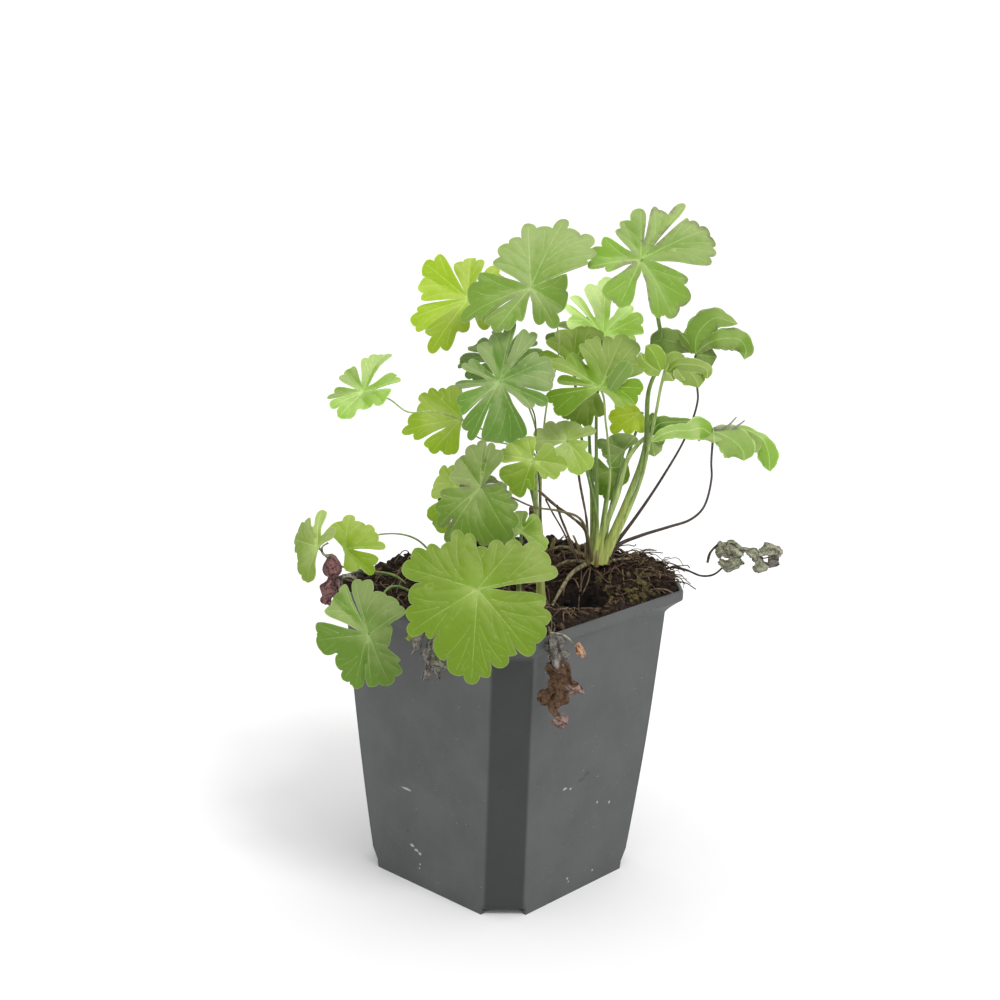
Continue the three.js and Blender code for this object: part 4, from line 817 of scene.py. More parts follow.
def rib_plan(lobes):
    """The ribs of a flat blade, knot first, each with its half widths."""
    groups = []
    for lobe in lobes:
        first = groups[-1][0] if groups else None
        if first and first["main"] == lobe["main"] and lobe["clock"] - first["clock"] < RIB_SPREAD:
            groups[-1].append(lobe)
        else:
            groups.append([lobe])
    ribs = []
    share = np.linspace(0, 1, 24)[:, None]
    for group in groups:
        centre = max(group, key=lambda lobe: lobe["reach"])
        tip = flat(centre["clock"], RIB_END * centre["reach"])
        ribs.append((share * tip, RIB_FOOT + (RIB_TIP - RIB_FOOT) * share[:, 0]))
        for lobe in group:
            if lobe is centre:
                continue
            start = (0.24 if abs(lobe["clock"] - centre["clock"]) < 32 else 0.09) * tip
            end = flat(lobe["clock"], RIB_END * lobe["reach"])
            bend = start + 0.45 * np.linalg.norm(end - start) * unit(unit(tip) + unit(end))
            line = (1 - share) ** 2 * start + 2 * share * (1 - share) * bend + share**2 * end
            line = line[away(line, *pieces_of([other for other, _ in ribs])) > FORK_GAP]
            if len(line) >= 4:
                ribs.append((line, 0.4 * RIB_FOOT + (RIB_TIP - 0.4 * RIB_FOOT) * share[-len(line):, 0]))
    return ribs


def side_veins(ribs, outline, rng):
    """Finer veins that leave the ribs to both sides and stop short of the next."""
    starts, ends = pieces_of([line for line, _ in ribs])
    veins = []
    for line, _ in ribs:
        steps = even(line, 0.4)
        length = 0.4 * (len(steps) - 1)
        at = max(2.2, 0.16 * length)
        side = rng.choice((-1, 1))
        while at < 0.95 * length:
            here = steps[min(round(at / 0.4), len(steps) - 2)]
            ahead = unit(steps[min(round(at / 0.4) + 1, len(steps) - 1)] - here)
            turn = side * math.radians(rng.uniform(34, 48))
            path = [here]
            while len(path) < 16:
                heading = math.atan2(ahead[1], ahead[0]) + turn
                after = path[-1] + 0.8 * np.array([math.cos(heading), math.sin(heading)])
                turn *= 0.94
                lone = after[None]
                if not within(lone, outline)[0] or from_edge(lone, outline)[0] < 0.7:
                    break
                if len(path) > 1 and away(lone, starts, ends)[0] < 0.75:
                    break
                path.append(after)
            if len(path) > 2:
                vein = np.array(path)
                veins.append(vein)
                starts, ends = np.vstack([starts, vein[1:-1]]), np.vstack([ends, vein[2:]])
            side = -side
            at += rng.uniform(0.35, 0.65) * NET_PITCH
    return veins


def stalk_route(leaf):
    """The stalk's route from its foot to the knot."""
    foot, knot = turned(leaf["base"]), turned(leaf["knot"])
    normal, _ = facing(leaf)
    knot = knot - 0.1 * normal
    if "via" in leaf:
        return np.vstack([foot, turned(leaf["via"][::-1]), knot])
    span = np.linalg.norm(knot - foot)
    up = np.array([0, 0, 1.0])
    low = foot + 0.2 * span * up + 0.2 * (knot - foot)
    high = knot - 0.22 * span * normal - 0.12 * span * up
    t = np.linspace(0, 1, 5)[:, None]
    return (1 - t) ** 3 * foot + 3 * t * (1 - t) ** 2 * low + 3 * t**2 * (1 - t) * high + t**3 * knot


def blade_sheet(leaf, seed, ruffle):
    """The flat part of a leaf, bent into place: its points, its triangles and what its material reads."""
    blade = Blade(leaf, seed)
    plan, triangles, outline, ribs, veins = blade.plan()
    reach = np.hypot(plan[:, 0], plan[:, 1])
    clock = np.degrees(np.arctan2(plan[:, 0], plan[:, 1]))
    points, mains = blade.place(clock, reach)
    rib_pieces = pieces_of([line for line, _ in ribs])
    rib_widths = np.concatenate([(width[:-1] + width[1:]) / 2 for _, width in ribs])
    rib = away(plan, *rib_pieces)
    rib_share = away(plan, *rib_pieces, rib_widths)
    net = away(plan, *pieces_of(veins)) if veins else np.full(len(plan), 9.0)
    margin = from_edge(plan, outline)
    crowded = (rib < 0.9) | (reach < 0.2 * blade.longest)
    net = np.where(crowded, np.maximum(net, 0.3), net)
    grain = Grain(seed)
    spot = np.column_stack([plan, np.full(len(plan), 3.7 * seed)])
    out = reach / blade.longest
    rise = QUILT * (1 - np.exp(-((np.minimum(rib, net) / 1.3) ** 2)))
    rise = rise - 0.14 * np.exp(-((rib / 0.6) ** 2)) * np.clip(1.2 - out, 0, 1)
    rise = rise + ruffle * out**2 * grain.layered(spot, 11, 2)
    rise = rise + 0.35 * np.exp(-margin / 1.6) * out * grain(spot, 4.5)
    light = np.full(len(plan), leaf.get("light", 1.0))
    for main, (middle, half) in enumerate(blade.mains):
        aside = reach * np.sin(np.radians(clock - middle)) * min(1, 40 / half)
        lean = math.tan(math.radians(blade.rng.uniform(-LEAN, LEAN)))
        sag = blade.rng.uniform(-SAG, SAG) * (len(blade.mains) > 1)
        hook = HOOK * blade.rng.uniform(0, 1) * blade.longest * ramp(out, 0.5, 1.25)
        rise = rise + (mains == main) * ((lean * aside + sag * reach) * ramp(out, 0.12, 0.5) - hook)
        light = light * (1 + (mains == main) * ramp(out, 0.1, 0.4) * blade.rng.uniform(-LOBE_TONE, LOBE_TONE))
    points = points + rise[:, None] * corner_normals(points, triangles)
    # Painted light: the blade is paler in colour where it faces a fixed light and towards its uphill side,
    # deeper where it faces away; green deepens a leaf.
    sky = corner_normals(points, triangles) @ turned(PAINTED_LIGHT_WAY)
    high = 0.55 * plan[:, 1] / blade.longest + PAINTED_LIGHT * (sky - np.median(sky)) - leaf.get("green", 0)
    return points, triangles, dict(rib=rib_share, net=net, margin=margin, out=out, flat=spot, light=light,
                                   high=np.clip(high, -1, 1))


def strip_sheet(leaf, strip, seed):
    """A lobe that hangs along its own rib, arched across it, with what its material reads."""
    path = smooth_route([(*turned(place[:3]), place[3]) for place in strip], 0.7)
    spine, half = path[:, :3], STRIP_SPREAD * path[:, 3]
    rng, grain = np.random.default_rng(seed), Grain(seed)
    gone = gone_along(spine)
    half = half * np.sqrt(np.clip((gone[-1] - gone) / 1.6 + 0.02, 0, 1))
    tangents = unit(np.gradient(spine, axis=0))
    side = unit(np.cross(tangents, turned([0, -1, 0.45])))
    normal = np.cross(side, tangents)
    across = np.linspace(-1, 1, STRIP_COLUMNS)
    rows = len(spine)
    scallop = [1 + 0.13 * np.abs(np.sin(math.pi * gone / 3.4 + start)) for start in rng.uniform(0, 3, 2)]
    reach = np.where(across < 0, *(half[:, None] * edge[:, None] for edge in scallop)) * across
    arch = STRIP_ARCH * half[:, None] * across**2 - 0.14 * np.exp(-((reach / 0.5) ** 2))
    points = spine[:, None] + reach[..., None] * side[:, None] - arch[..., None] * normal[:, None]
    points = points.reshape(-1, 3)
    points = points + 0.35 * (grain(points, 5) * np.tile(np.abs(across), rows))[:, None] * np.repeat(
        normal, STRIP_COLUMNS, axis=0)
    along = np.repeat(gone, STRIP_COLUMNS)
    reach = reach.ravel()
    phase = (along - 0.9 * np.abs(reach)) / NET_PITCH
    values = dict(rib=np.abs(reach) / 0.2, net=NET_PITCH * np.abs(phase - np.round(phase)) * 0.7,
                  margin=np.repeat(half, STRIP_COLUMNS) - np.abs(reach), out=0.3 + 0.7 * along / gone[-1],
                  flat=np.column_stack([reach, along, np.full(len(along), 3.7 * seed)]),
                  light=np.full(len(along),
                                leaf.get("light", 1.0) * rng.uniform(1 - LOBE_TONE, 1 + LOBE_TONE)),
                  # high is painted light: a hanging lobe is paler in colour where it faces up to the sky
                  high=np.repeat(ramp(normal[:, 2], -0.2, 1.0), STRIP_COLUMNS) * 2 - 1)
    return points, woven(rows, STRIP_COLUMNS), values


def make_leaf(leaf, seed, looks, sizes):
    """One leaf with its stalk."""
    build = Build(rib=1, net=1, margin=1, under=1, out=1, high=1, flat=3, run=1, light=1, warm=1, rim=1)
    sheets = [blade_sheet(leaf, seed, sizes.ruffle / MM)] if "tips" in leaf else []
    fold = float("tips" in leaf)
    for count, strip in enumerate(leaf.get("strips", [])):
        points, triangles, values = strip_sheet(leaf, strip, seed * 10 + count)
        sheets.append((points, triangles, dict(values, under=fold)))
    for points, triangles, values in sheets:
        both, faces = slab(points, triangles, sizes.thickness / MM)
        below = np.concatenate([np.full(len(points), values.pop("under", 0.0)), np.ones(len(points))])
        values = {name: np.concatenate([value, value]) for name, value in values.items()}
        build.add(both, faces, 0, under=below, warm=leaf.get("warm", 0), rim=leaf.get("rim", 0), **values)
    path = smooth_route(stalk_route(leaf), 1.3)
    along = np.linspace(0, 1, len(path))
    radii = STALK_FOOT + (STALK_TIP - STALK_FOOT) * np.minimum(1, 1.6 * along)
    radii = leaf.get("thick", 1) * radii + 0.5 * np.exp(-along * 16) + 0.15 * np.exp(-(1 - along) * 40)
    radii = sizes.stalk_width * radii * (1 + 0.05 * Grain(seed)(path, 6))
    build.add_tube(path, radii, 10, 1)
    for beak in leaf.get("beaks", []):
        path = smooth_route(turned(beak), 0.6)
        build.add_tube(path, 0.6 - 0.4 * np.linspace(0, 1, len(path)), 8, 2)
    blade, stalk = leaf.get("look", leaf["tone"]), "stalk_" + leaf.get("stem", "green")
    piece = build.make(leaf["name"].replace("leaf_", "blade_"),
                       [looks[blade], looks[stalk], looks["stalk_beak"]])
    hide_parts(leaf["name"])
    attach(piece, "root")
    "leaf_" + leaf["tone"]


# ---- Materials ------------------------------------------------------------


class Wire:
    """A socket's value. Python's operators on it add Math nodes."""

    def __init__(self, finish, socket):
        self.finish, self.socket = finish, socket

    def math(self, operation, first, second=0.0):
        """A Math node of this operation."""
        return self.finish.node("Math", dict(operation=operation), {0: first, 1: second})

    def __add__(self, other):
        return self.math("ADD", self, other)

    def __sub__(self, other):
        return self.math("SUBTRACT", self, other)

    def __mul__(self, other):
        return self.math("MULTIPLY", self, other)

    def __rsub__(self, other):
        return self.math("SUBTRACT", other, self)

    __radd__ = __add__
    __rmul__ = __mul__

    def at_least(self, other):
        """The larger of the two."""
        return self.math("MAXIMUM", self, other)

    def at_most(self, other):
        """The smaller of the two."""
        return self.math("MINIMUM", self, other)

    def band(self, low, high):
        """0 at low and 1 at high, smooth between, whichever of them is larger."""
        sockets = {"Value": self, "From Min": low, "From Max": high}
        return self.finish.node("MapRange", dict(interpolation_type="SMOOTHSTEP"), sockets)


class Finish:
    """A material, built up node by node."""

    def __init__(self, name):
        self.material = bpy.data.materials.new(name)
        self.material.use_nodes = True
        self.tree = self.material.node_tree
        self.tree.nodes.clear()

    def node(self, kind, settings=None, sockets=None, output=0):
        """Adds a node: its settings first, then its sockets' values or links."""
        made = self.tree.nodes.new("ShaderNode" + kind)
        for name, value in (settings or {}).items():
            setattr(made, name, value)
        for name, value in (sockets or {}).items():
            if isinstance(value, Wire):
                self.tree.links.new(value.socket, made.inputs[name])
            elif isinstance(value, tuple) and len(value) == 3 and len(made.inputs[name].default_value) == 4:
                made.inputs[name].default_value = (*value, 1)
            else:
                made.inputs[name].default_value = value
        return Wire(self, made.outputs[output])

    def value(self, name):
        """A value kept on the mesh."""
        return self.node("Attribute", dict(attribute_name=name), output="Fac")

    def place(self, name=None):
        """Position: the object's own, or one kept on the mesh."""
        if name:
            return self.node("Attribute", dict(attribute_name=name), output="Vector")
        return self.node("TexCoord", output="Object")

    def noise(self, place, scale, detail=3.0, rough=0.55, stretch=None):
        """Cloudy noise, squeezed or stretched along the axes if asked."""
        if stretch:
            place = self.node("VectorMath", dict(operation="MULTIPLY"), {0: place, 1: stretch})
        sockets = {"Vector": place, "Scale": scale, "Detail": detail, "Roughness": rough}
        return self.node("TexNoise", None, sockets)

    def cells(self, place, scale, feature="DISTANCE_TO_EDGE"):
        """Distances in a pattern of cells."""
        return self.node("TexVoronoi", dict(feature=feature), {"Vector": place, "Scale": scale}, "Distance")

    def mix(self, factor, first, second, how="MIX"):
        """A colour between two, or one laid on the other."""
        return self.node("Mix", dict(data_type="RGBA", blend_type=how), {0: factor, 6: first, 7: second}, 2)

    def times(self, colour, factor):
        """A colour made lighter or darker."""
        return self.mix(1.0, colour, shade(WHITE, factor), "MULTIPLY")

    def bump(self, height, depth, strength=1.0):
        """Relief, whose height of 1 stands for this depth in millimetres."""
        return self.node("Bump", None, {"Height": height, "Distance": depth * MM, "Strength": strength})

    def surface(self, thin=None, **sockets):
        """The shader itself. thin lets some light through, in a colour of its own."""
        names = {name: name.replace("_", " ").title().replace("Ior", "IOR") for name in sockets}
        shader = self.node("BsdfPrincipled", None, {names[name]: value for name, value in sockets.items()})
        if thin:
            share, colour = thin
            glow = self.node("BsdfTranslucent", None, {"Color": colour})
            shader = self.node("MixShader", None, {0: share, 1: shader, 2: glow})
        end = self.tree.nodes.new("ShaderNodeOutputMaterial")
        self.tree.links.new(shader.socket, end.inputs["Surface"])
        return self.material


def shade(colour, factor):
    """A colour made lighter or darker."""
    return tuple(part * factor for part in colour)


def blade_look(name, colour, vein, seed):
    """A leaf's surface: painted light that makes it paler uphill and where it faces the light, with thin
    light ribs, fine hairs and an edge that dries in places.
    """
    look = Finish(name)
    spot = look.place("flat")
    rib, net, margin = look.value("rib"), look.value("net"), look.value("margin")
    under, out, light = look.value("under"), look.value("out"), look.value("light")
    patch = look.noise(spot, 0.13 + 0.01 * seed, 3)
    mottle = look.noise(spot, 0.7, 4, 0.65)
    small = look.cells(spot, 1.3)
    # Painted light and shade: parts that face the light or lie uphill go towards the pale colour, the rest
    # towards the deep one, with random patches.
    deep = tuple(part * less for part, less in zip(colour, DEEP_AND_SHADED))
    pale = tuple(part * 0.6 + lift for part, lift in zip(colour, PALE_AND_LIT))
    high = (look.value("high") + patch * 0.8 - 0.4).band(-0.7, 0.7)
    base = look.mix(look.value("warm"), look.mix(high, deep, pale), WARM)
    base = look.mix(mottle.band(0.35, 0.75) * 0.25, base, look.times(base, 0.8))
    glow = look.mix(0.45, look.times(base, 1.45), vein)
    base = look.mix((1 - out).band(0.75, 1.0) * 0.3, base, glow)
    base = look.mix(small.band(0.09, 0.02) * 0.05, base, glow)
    base = look.mix(net.band(0.2, 0.03) * patch.band(0.4, 0.6) * 0.3, base, glow)
    base = look.mix(rib.band(1.1, 0.4) * mottle.band(0.25, 0.6) * 0.75, base, glow)
    # A pale edge: partly the leaf's own pale margin, partly a painted highlight along its rim.
    base = look.mix(margin.band(0.3, 0.05) * mottle.band(0.3, 0.55) * 0.7, base, glow)
    dry = (margin + mottle * 2.4).band(3.2, 0.9) * patch.band(0.42, 0.6) * look.value("rim")
    base = look.mix(dry, base, look.mix(mottle.band(0.3, 0.6), DRY_RIM, shade(DRY_RIM, 2.2)))
    base = look.mix(1.0, base, look.node("CombineColor", None, {0: light, 1: light, 2: light}), "MULTIPLY")
    flip = look.mix(0.3, look.times(base, 1.12), UNDERSIDE)
    base = look.mix(under, base, flip)
    hairs = look.noise(spot, 5.5, 2, 0.6)
    height = small.band(0.02, 0.22) * 0.3 + hairs * 0.6 - net.band(0.5, 0.05) * 0.4
    return look.surface(thin=(0.28, look.times(base, 1.3)), base_color=base, roughness=0.5 + mottle * 0.16,
                        normal=look.bump(height, 0.1, 0.5), specular_ior_level=0.3)


def stalk_look(name, colour, foot):
    """A stalk: streaked along its length, with painted highlights among its pale streaks, warmer at its foot,
    finely hairy.
    """
    look = Finish(name)
    spot = look.place("flat")
    run = look.value("run")
    streak = look.noise(spot, 1.1, 3, 0.6, (1, 1, 0.05))
    base = look.mix(run.band(0.4, 0.0) * 0.85, colour, foot)
    base = look.mix(streak.band(0.36, 0.64), look.times(base, 0.62), base)
    # Narrow pale streaks: partly the stalk's own, partly painted highlights.
    base = look.mix(streak.band(0.6, 0.72) * 0.5, base, look.times(base, 1.5))
    fuzz = look.noise(spot, 3.2, 3, 0.7)
    return look.surface(base_color=base, roughness=0.5 + fuzz * 0.2, normal=look.bump(fuzz, 0.15, 0.6),
                        specular_ior_level=0.45, sheen_weight=0.12, sheen_roughness=0.4)


# ---- Crowns, dead growth and soil -----------------------------------------


def ball(level):
    """A unit sphere of even triangles: points and faces."""
    mesh = bmesh.new()
    bmesh.ops.create_icosphere(mesh, subdivisions=level, radius=1)
    mesh.verts.ensure_lookup_table()
    points = np.array([tuple(vert.co) for vert in mesh.verts])
    faces = [tuple(vert.index for vert in face.verts) for face in mesh.faces]
    mesh.free()
    return points, faces


def scale_leaf(foot, heading, length, width, lean, rng):
    """A papery scale that wraps a stalk's foot: a closed pointed slab."""
    rows, columns = 9, 7
    points = []
    out = np.array([math.cos(heading), math.sin(heading), 0])
    side = np.array([-out[1], out[0], 0])
    for s in np.linspace(0, 1, rows):
        half = width * (0.55 + 0.6 * s) * (1 - s**2.2) + 0.06
        centre = foot + out * (lean * length * s**1.6) + np.array([0, 0, length * s])
        for across in 2 * np.arange(columns) / (columns - 1) - 1:
            fold = 0.55 * width * (1 - across**2) + rng.uniform(-0.1, 0.1) * width
            points.append(centre + side * across * half + out * fold)
    return slab(np.array(points), woven(rows, columns), SCALE_THICK)


def make_crowns(looks):
    """The woody bases, with exposed roots, papery scales and dead stems."""
    core, faces = ball(5)
    for crown in CROWNS:
        rng = np.random.default_rng(crown["seed"])
        grain = Grain(crown["seed"])
        build = Build(run=1, flat=3)
        lump = 1 + 0.16 * grain.layered(core * 3, 1.6, 4)[:, None]
        body = turned(core * lump * crown["size"]) + turned(crown["at"])
        body = body + 0.35 * core * grain(body, 0.8)[:, None]
        build.add(body, faces, 0, flat=body)
        for route, thick in crown["roots"]:
            path = smooth_route(turned(route), 0.8)
            taper = 1 - 0.45 * np.linspace(0, 1, len(path))
            knobs = 1 + 0.16 * grain(path, 2.2) + 0.1 * grain(path, 0.9)
            build.add_tube(path, thick * taper * knobs, 12, 3)
        for at, heading, length, width in crown["scales"]:
            foot = turned(at)
            turn = math.radians(heading + PLANT_TURN)
            points, sides = scale_leaf(foot, turn, length, width, rng.uniform(0.05, 0.35), rng)
            rise = np.clip((points[:, 2] - foot[2]) / length, 0, 1)
            build.add(points, sides, 1, run=rise, flat=points)
        for route, thick in crown["dead"]:
            path = smooth_route(turned(route), 0.8)
            build.add_tube(path, thick * (1 + 0.14 * grain(path, 3) + 0.08 * grain(path, 1.1)), 10, 2)
        piece = build.make(crown["name"].replace("crown", "woody"),
                           [looks["bark"], looks["scale"], looks["dead_stem"], looks["root"]])
        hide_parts(crown["name"])
        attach(piece, "root")


def crumpled(path, width, seed):
    """A shrivelled scrap of leaf with torn edges, folded along its middle."""
    grain = Grain(seed)
    spine = smooth_route(turned(path), SCRAP_STEP)
    rows, columns = len(spine), max(9, round(width / SCRAP_STEP))
    tangents = unit(np.gradient(spine, axis=0))
    share = np.linspace(0, 1, rows)
    front = turned([0, -1, 0])
    points = np.empty((rows, columns, 3))
    gone, none = np.arange(rows) * SCRAP_STEP, np.zeros(rows)
    tears = [1 + TORN * grain.layered(np.column_stack([gone, none + at, none]), 2.2, 3) for at in (0, 5)]
    for row, (centre, along) in enumerate(zip(spine, tangents)):
        side = unit(np.cross(along, front))
        out = np.cross(side, along)
        half = 0.5 * width * (0.3 + 0.7 * math.sin(math.pi * (0.1 + 0.8 * share[row])))
        for column in range(columns):
            across = 2 * column / (columns - 1) - 1
            edge = tears[across >= 0][row]
            fold = 0.26 * width * (abs(across) - 0.45) + 0.1 * width * math.cos(across * 7 + seed)
            points[row, column] = centre + side * across * edge * half - out * fold
    points = points.reshape(-1, 3)
    for depth, size in ((0.6, 2.4), (0.3, 0.9)):
        points = points + depth * np.stack([grain(points + 9 * k, size) for k in range(3)], axis=-1)
    both, faces = slab(points, woven(rows, columns, over=True), SCRAP_THICK)
    across = np.tile(np.abs(np.linspace(-1, 1, columns)), rows)
    return both, faces, np.concatenate([across, across])


def shrivelled_bud(at, size, grain):
    """A ribbed bud, wider below: its points, its faces and where its ribs are."""
    core, faces = ball(4)
    turn = np.arctan2(core[:, 1], core[:, 0]) + 0.5 * core[:, 2]
    rib = 1 + 0.13 * np.cos(6 * turn) + 0.04 * grain(core, 0.3)
    taper = np.clip(1 - 0.32 * core[:, 2], 0.2, 2)
    body = core * size
    body[:, :2] *= (rib * taper)[:, None]
    return turned(body) + turned(at), faces, np.abs(np.cos(3 * turn))


def make_dead_growth(looks):
    """Withered leaves on their dry stalks, and the dry bud."""
    for dead in DEAD_GROWTH:
        build = Build(run=1, flat=3)
        grain = Grain(dead["seed"])
        tones = ["bud"] * ("bud" in dead) + [part[2] for part in dead["scraps"] + dead["twigs"]]
        tones = list(dict.fromkeys(tones))
        for route, thick, tone in dead["twigs"]:
            path = smooth_route(turned(route), 0.7)
            radii = thick * (1.1 - 0.4 * np.linspace(0, 1, len(path))) * (1 + 0.2 * grain(path, 1.6))
            build.add_tube(path, radii, 9, tones.index(tone))
        for count, (route, width, tone) in enumerate(dead["scraps"]):
            points, faces, across = crumpled(route, width, 10 * dead["seed"] + count)
            build.add(points, faces, tones.index(tone), run=across, flat=points)
        if "bud" in dead:
            body, faces, ribs = shrivelled_bud(*dead["bud"], grain)
            build.add(body, faces, 0, run=ribs, flat=body)
        piece = build.make(dead["name"].replace("withered", "dried").replace("dry_bud", "bud"),
                           [looks[tone] for tone in tones])
        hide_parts(dead["name"])
        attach(piece, "root")


def octagon(half, corner):
    """The corners of a square whose own corners are cut off."""
    near = half - corner
    return np.array([[half, -near], [half, near], [near, half], [-near, half],
                     [-half, near], [-half, -near], [-near, -half], [near, -half]])


def rounded(half, corner, radius):
    """An octagon with rounded corners, always with the same number of points."""
    corners = octagon(half, corner)
    loop = []
    count = len(corners)
    for i in range(count):
        here, before, after = corners[i], corners[i - 1], corners[(i + 1) % count]
        back, ahead = unit(before - here), unit(after - here)
        for share in np.linspace(0, 1, BEND_POINTS):
            a, b = here + back * radius, here + ahead * radius
            loop.append((1 - share) ** 2 * a + 2 * share * (1 - share) * here + share**2 * b)
        start, end = here + ahead * radius, after - ahead * radius
        loop += [start + (end - start) * k / (SIDE_POINTS + 1) for k in range(1, SIDE_POINTS + 1)]
    return np.array(loop)


def octagon_reach(ways, half, corner):
    """How far an octagon reaches from its middle along unit directions."""
    x, y = np.abs(ways).T + 1e-9
    return np.minimum(np.minimum(half / x, half / y), (2 * half - corner) / (x + y))


def soil_height(x, y):
    """Height of the peat at a place in the plant's own frame."""
    heap = sum(height * np.exp(-((x - at[0]) ** 2 + (y - at[1]) ** 2) / width**2)
               for at, width, height in HEAPS)
    rough = np.sin(0.61 * x + 0.9) * np.cos(0.53 * y)
    rough = rough + 0.6 * np.sin(1.13 * x - 0.8 * y) + 0.4 * np.cos(1.7 * y + 0.4 * x)
    return SOIL_EDGE + heap + 0.8 * rough


def hollow_share(points):
    """How far a point lies in the hollow's painted shadow: 1 in its middle, 0 outside it."""
    x, y = turned_back(points)
    (at_x, at_y), (wide, deep) = HOLLOW
    return ramp(-np.hypot((x - at_x) / wide, (y - at_y) / deep), -1.25, -0.75)


def peat_height(places, grain):
    """Height of the peat at places in the pot's frame, with its small lumps."""
    height = soil_height(*turned_back(places))
    spot = np.column_stack([places, np.zeros(len(places))])
    height = height + 1.3 * grain.layered(spot, 6.5, 4) + 0.5 * np.abs(grain(spot + 40, 1.6))
    return np.maximum(height, SOIL_LOW)


def inside_wall(places, inset):
    """Which places lie this far inside the pot's rim wall."""
    return within(places[:, :2], octagon(POT["rim_half"] - POT["wall"] - inset, POT["rim_corner"]))


def peat_body(grain, rng):
    """The peat without what lies on it: its lumpy top, and plain sides that follow the pot's walls."""
    outer = POT["rim_half"] - POT["wall"] - 0.4
    outline = spaced(octagon(outer, POT["rim_corner"]), PEAT_RIM_STEP)
    plan, triangles = filled(outline, [], PEAT_STEP, 0.6, lambda shape: rng.uniform(-0.2, 0.2, shape))
    top = np.column_stack([plan, peat_height(plan, grain)])
    stir = 0.5 * np.stack([grain(top + 3, 1.8), grain(top + 17, 1.8)], axis=-1)
    top[:, :2] += stir * (from_edge(plan, outline) > 1.5)[:, None]
    ways = unit(plan)
    sheets = [top]
    for inset, z in ((0.4, SOIL_WAIST), (1.0, SOIL_UNDER)):
        half = wall_half(z) - POT["wall"] - inset
        share = octagon_reach(ways, half, POT["corner"]) / octagon_reach(ways, outer, POT["rim_corner"])
        sheets.append(np.column_stack([plan * share[:, None], np.full(len(plan), float(z))]))
    many = len(top)
    faces = [tuple(face) for face in triangles.tolist()]
    faces += [(b + low, a + low, a + low + many, b + low + many)
              for a, b in open_edges(triangles) for low in (0, many)]
    faces += [tuple(face) for face in (triangles[:, ::-1] + 2 * many).tolist()]
    return np.vstack(sheets), faces


def fibre_route(centre, grain, rng):
    """A fibre that arches over the peat, or nothing where it would leave the pot."""
    heading = rng.uniform(0, 2 * math.pi)
    length, arch = rng.uniform(4, 13), rng.uniform(0.3, 2.6)
    share = np.linspace(0, 1, 7)
    turn = heading + rng.uniform(-1.2, 1.2) * (share - 0.5)
    reach = (share - 0.5) * length
    route = np.column_stack([centre[0] + reach * np.cos(turn), centre[1] + reach * np.sin(turn), 0 * share])
    if not inside_wall(route, 1.0).all():
        return None
    route[:, 2] = peat_height(route[:, :2], grain) + arch * 4 * share * (1 - share) - 0.2
    return smooth_route(route, 0.8)


def fringe_route(grain, rng):
    """A fine root that stands out at the right corner, or nothing where it would hang in the air."""
    start = turned([*(np.array(FRINGE["at"]) + rng.normal(0, 1, 2) * FRINGE["spread"]), 0.0])
    if not inside_wall(start[None], 1.0)[0]:
        return None
    start[2] = peat_height(start[None, :2], grain)[0] - 0.3
    length, heading = rng.uniform(*FRINGE["length"]), rng.normal(0, 1.1)
    way = turned([math.cos(heading), math.sin(heading), 0.0])
    share = np.linspace(0, 1, 6)[:, None]
    lift = length * rng.uniform(0.25, 0.7) * share * (1.1 - share)
    route = start + length * share * way + (0, 0, 1) * lift
    route = route + 0.12 * length * share * rng.normal(0, 0.5, (6, 3))
    outside = ~inside_wall(route, -0.2)
    if (outside & (route[:, 2] < POT["height"] + 0.8)).any():
        return None
    return smooth_route(route, 0.9)


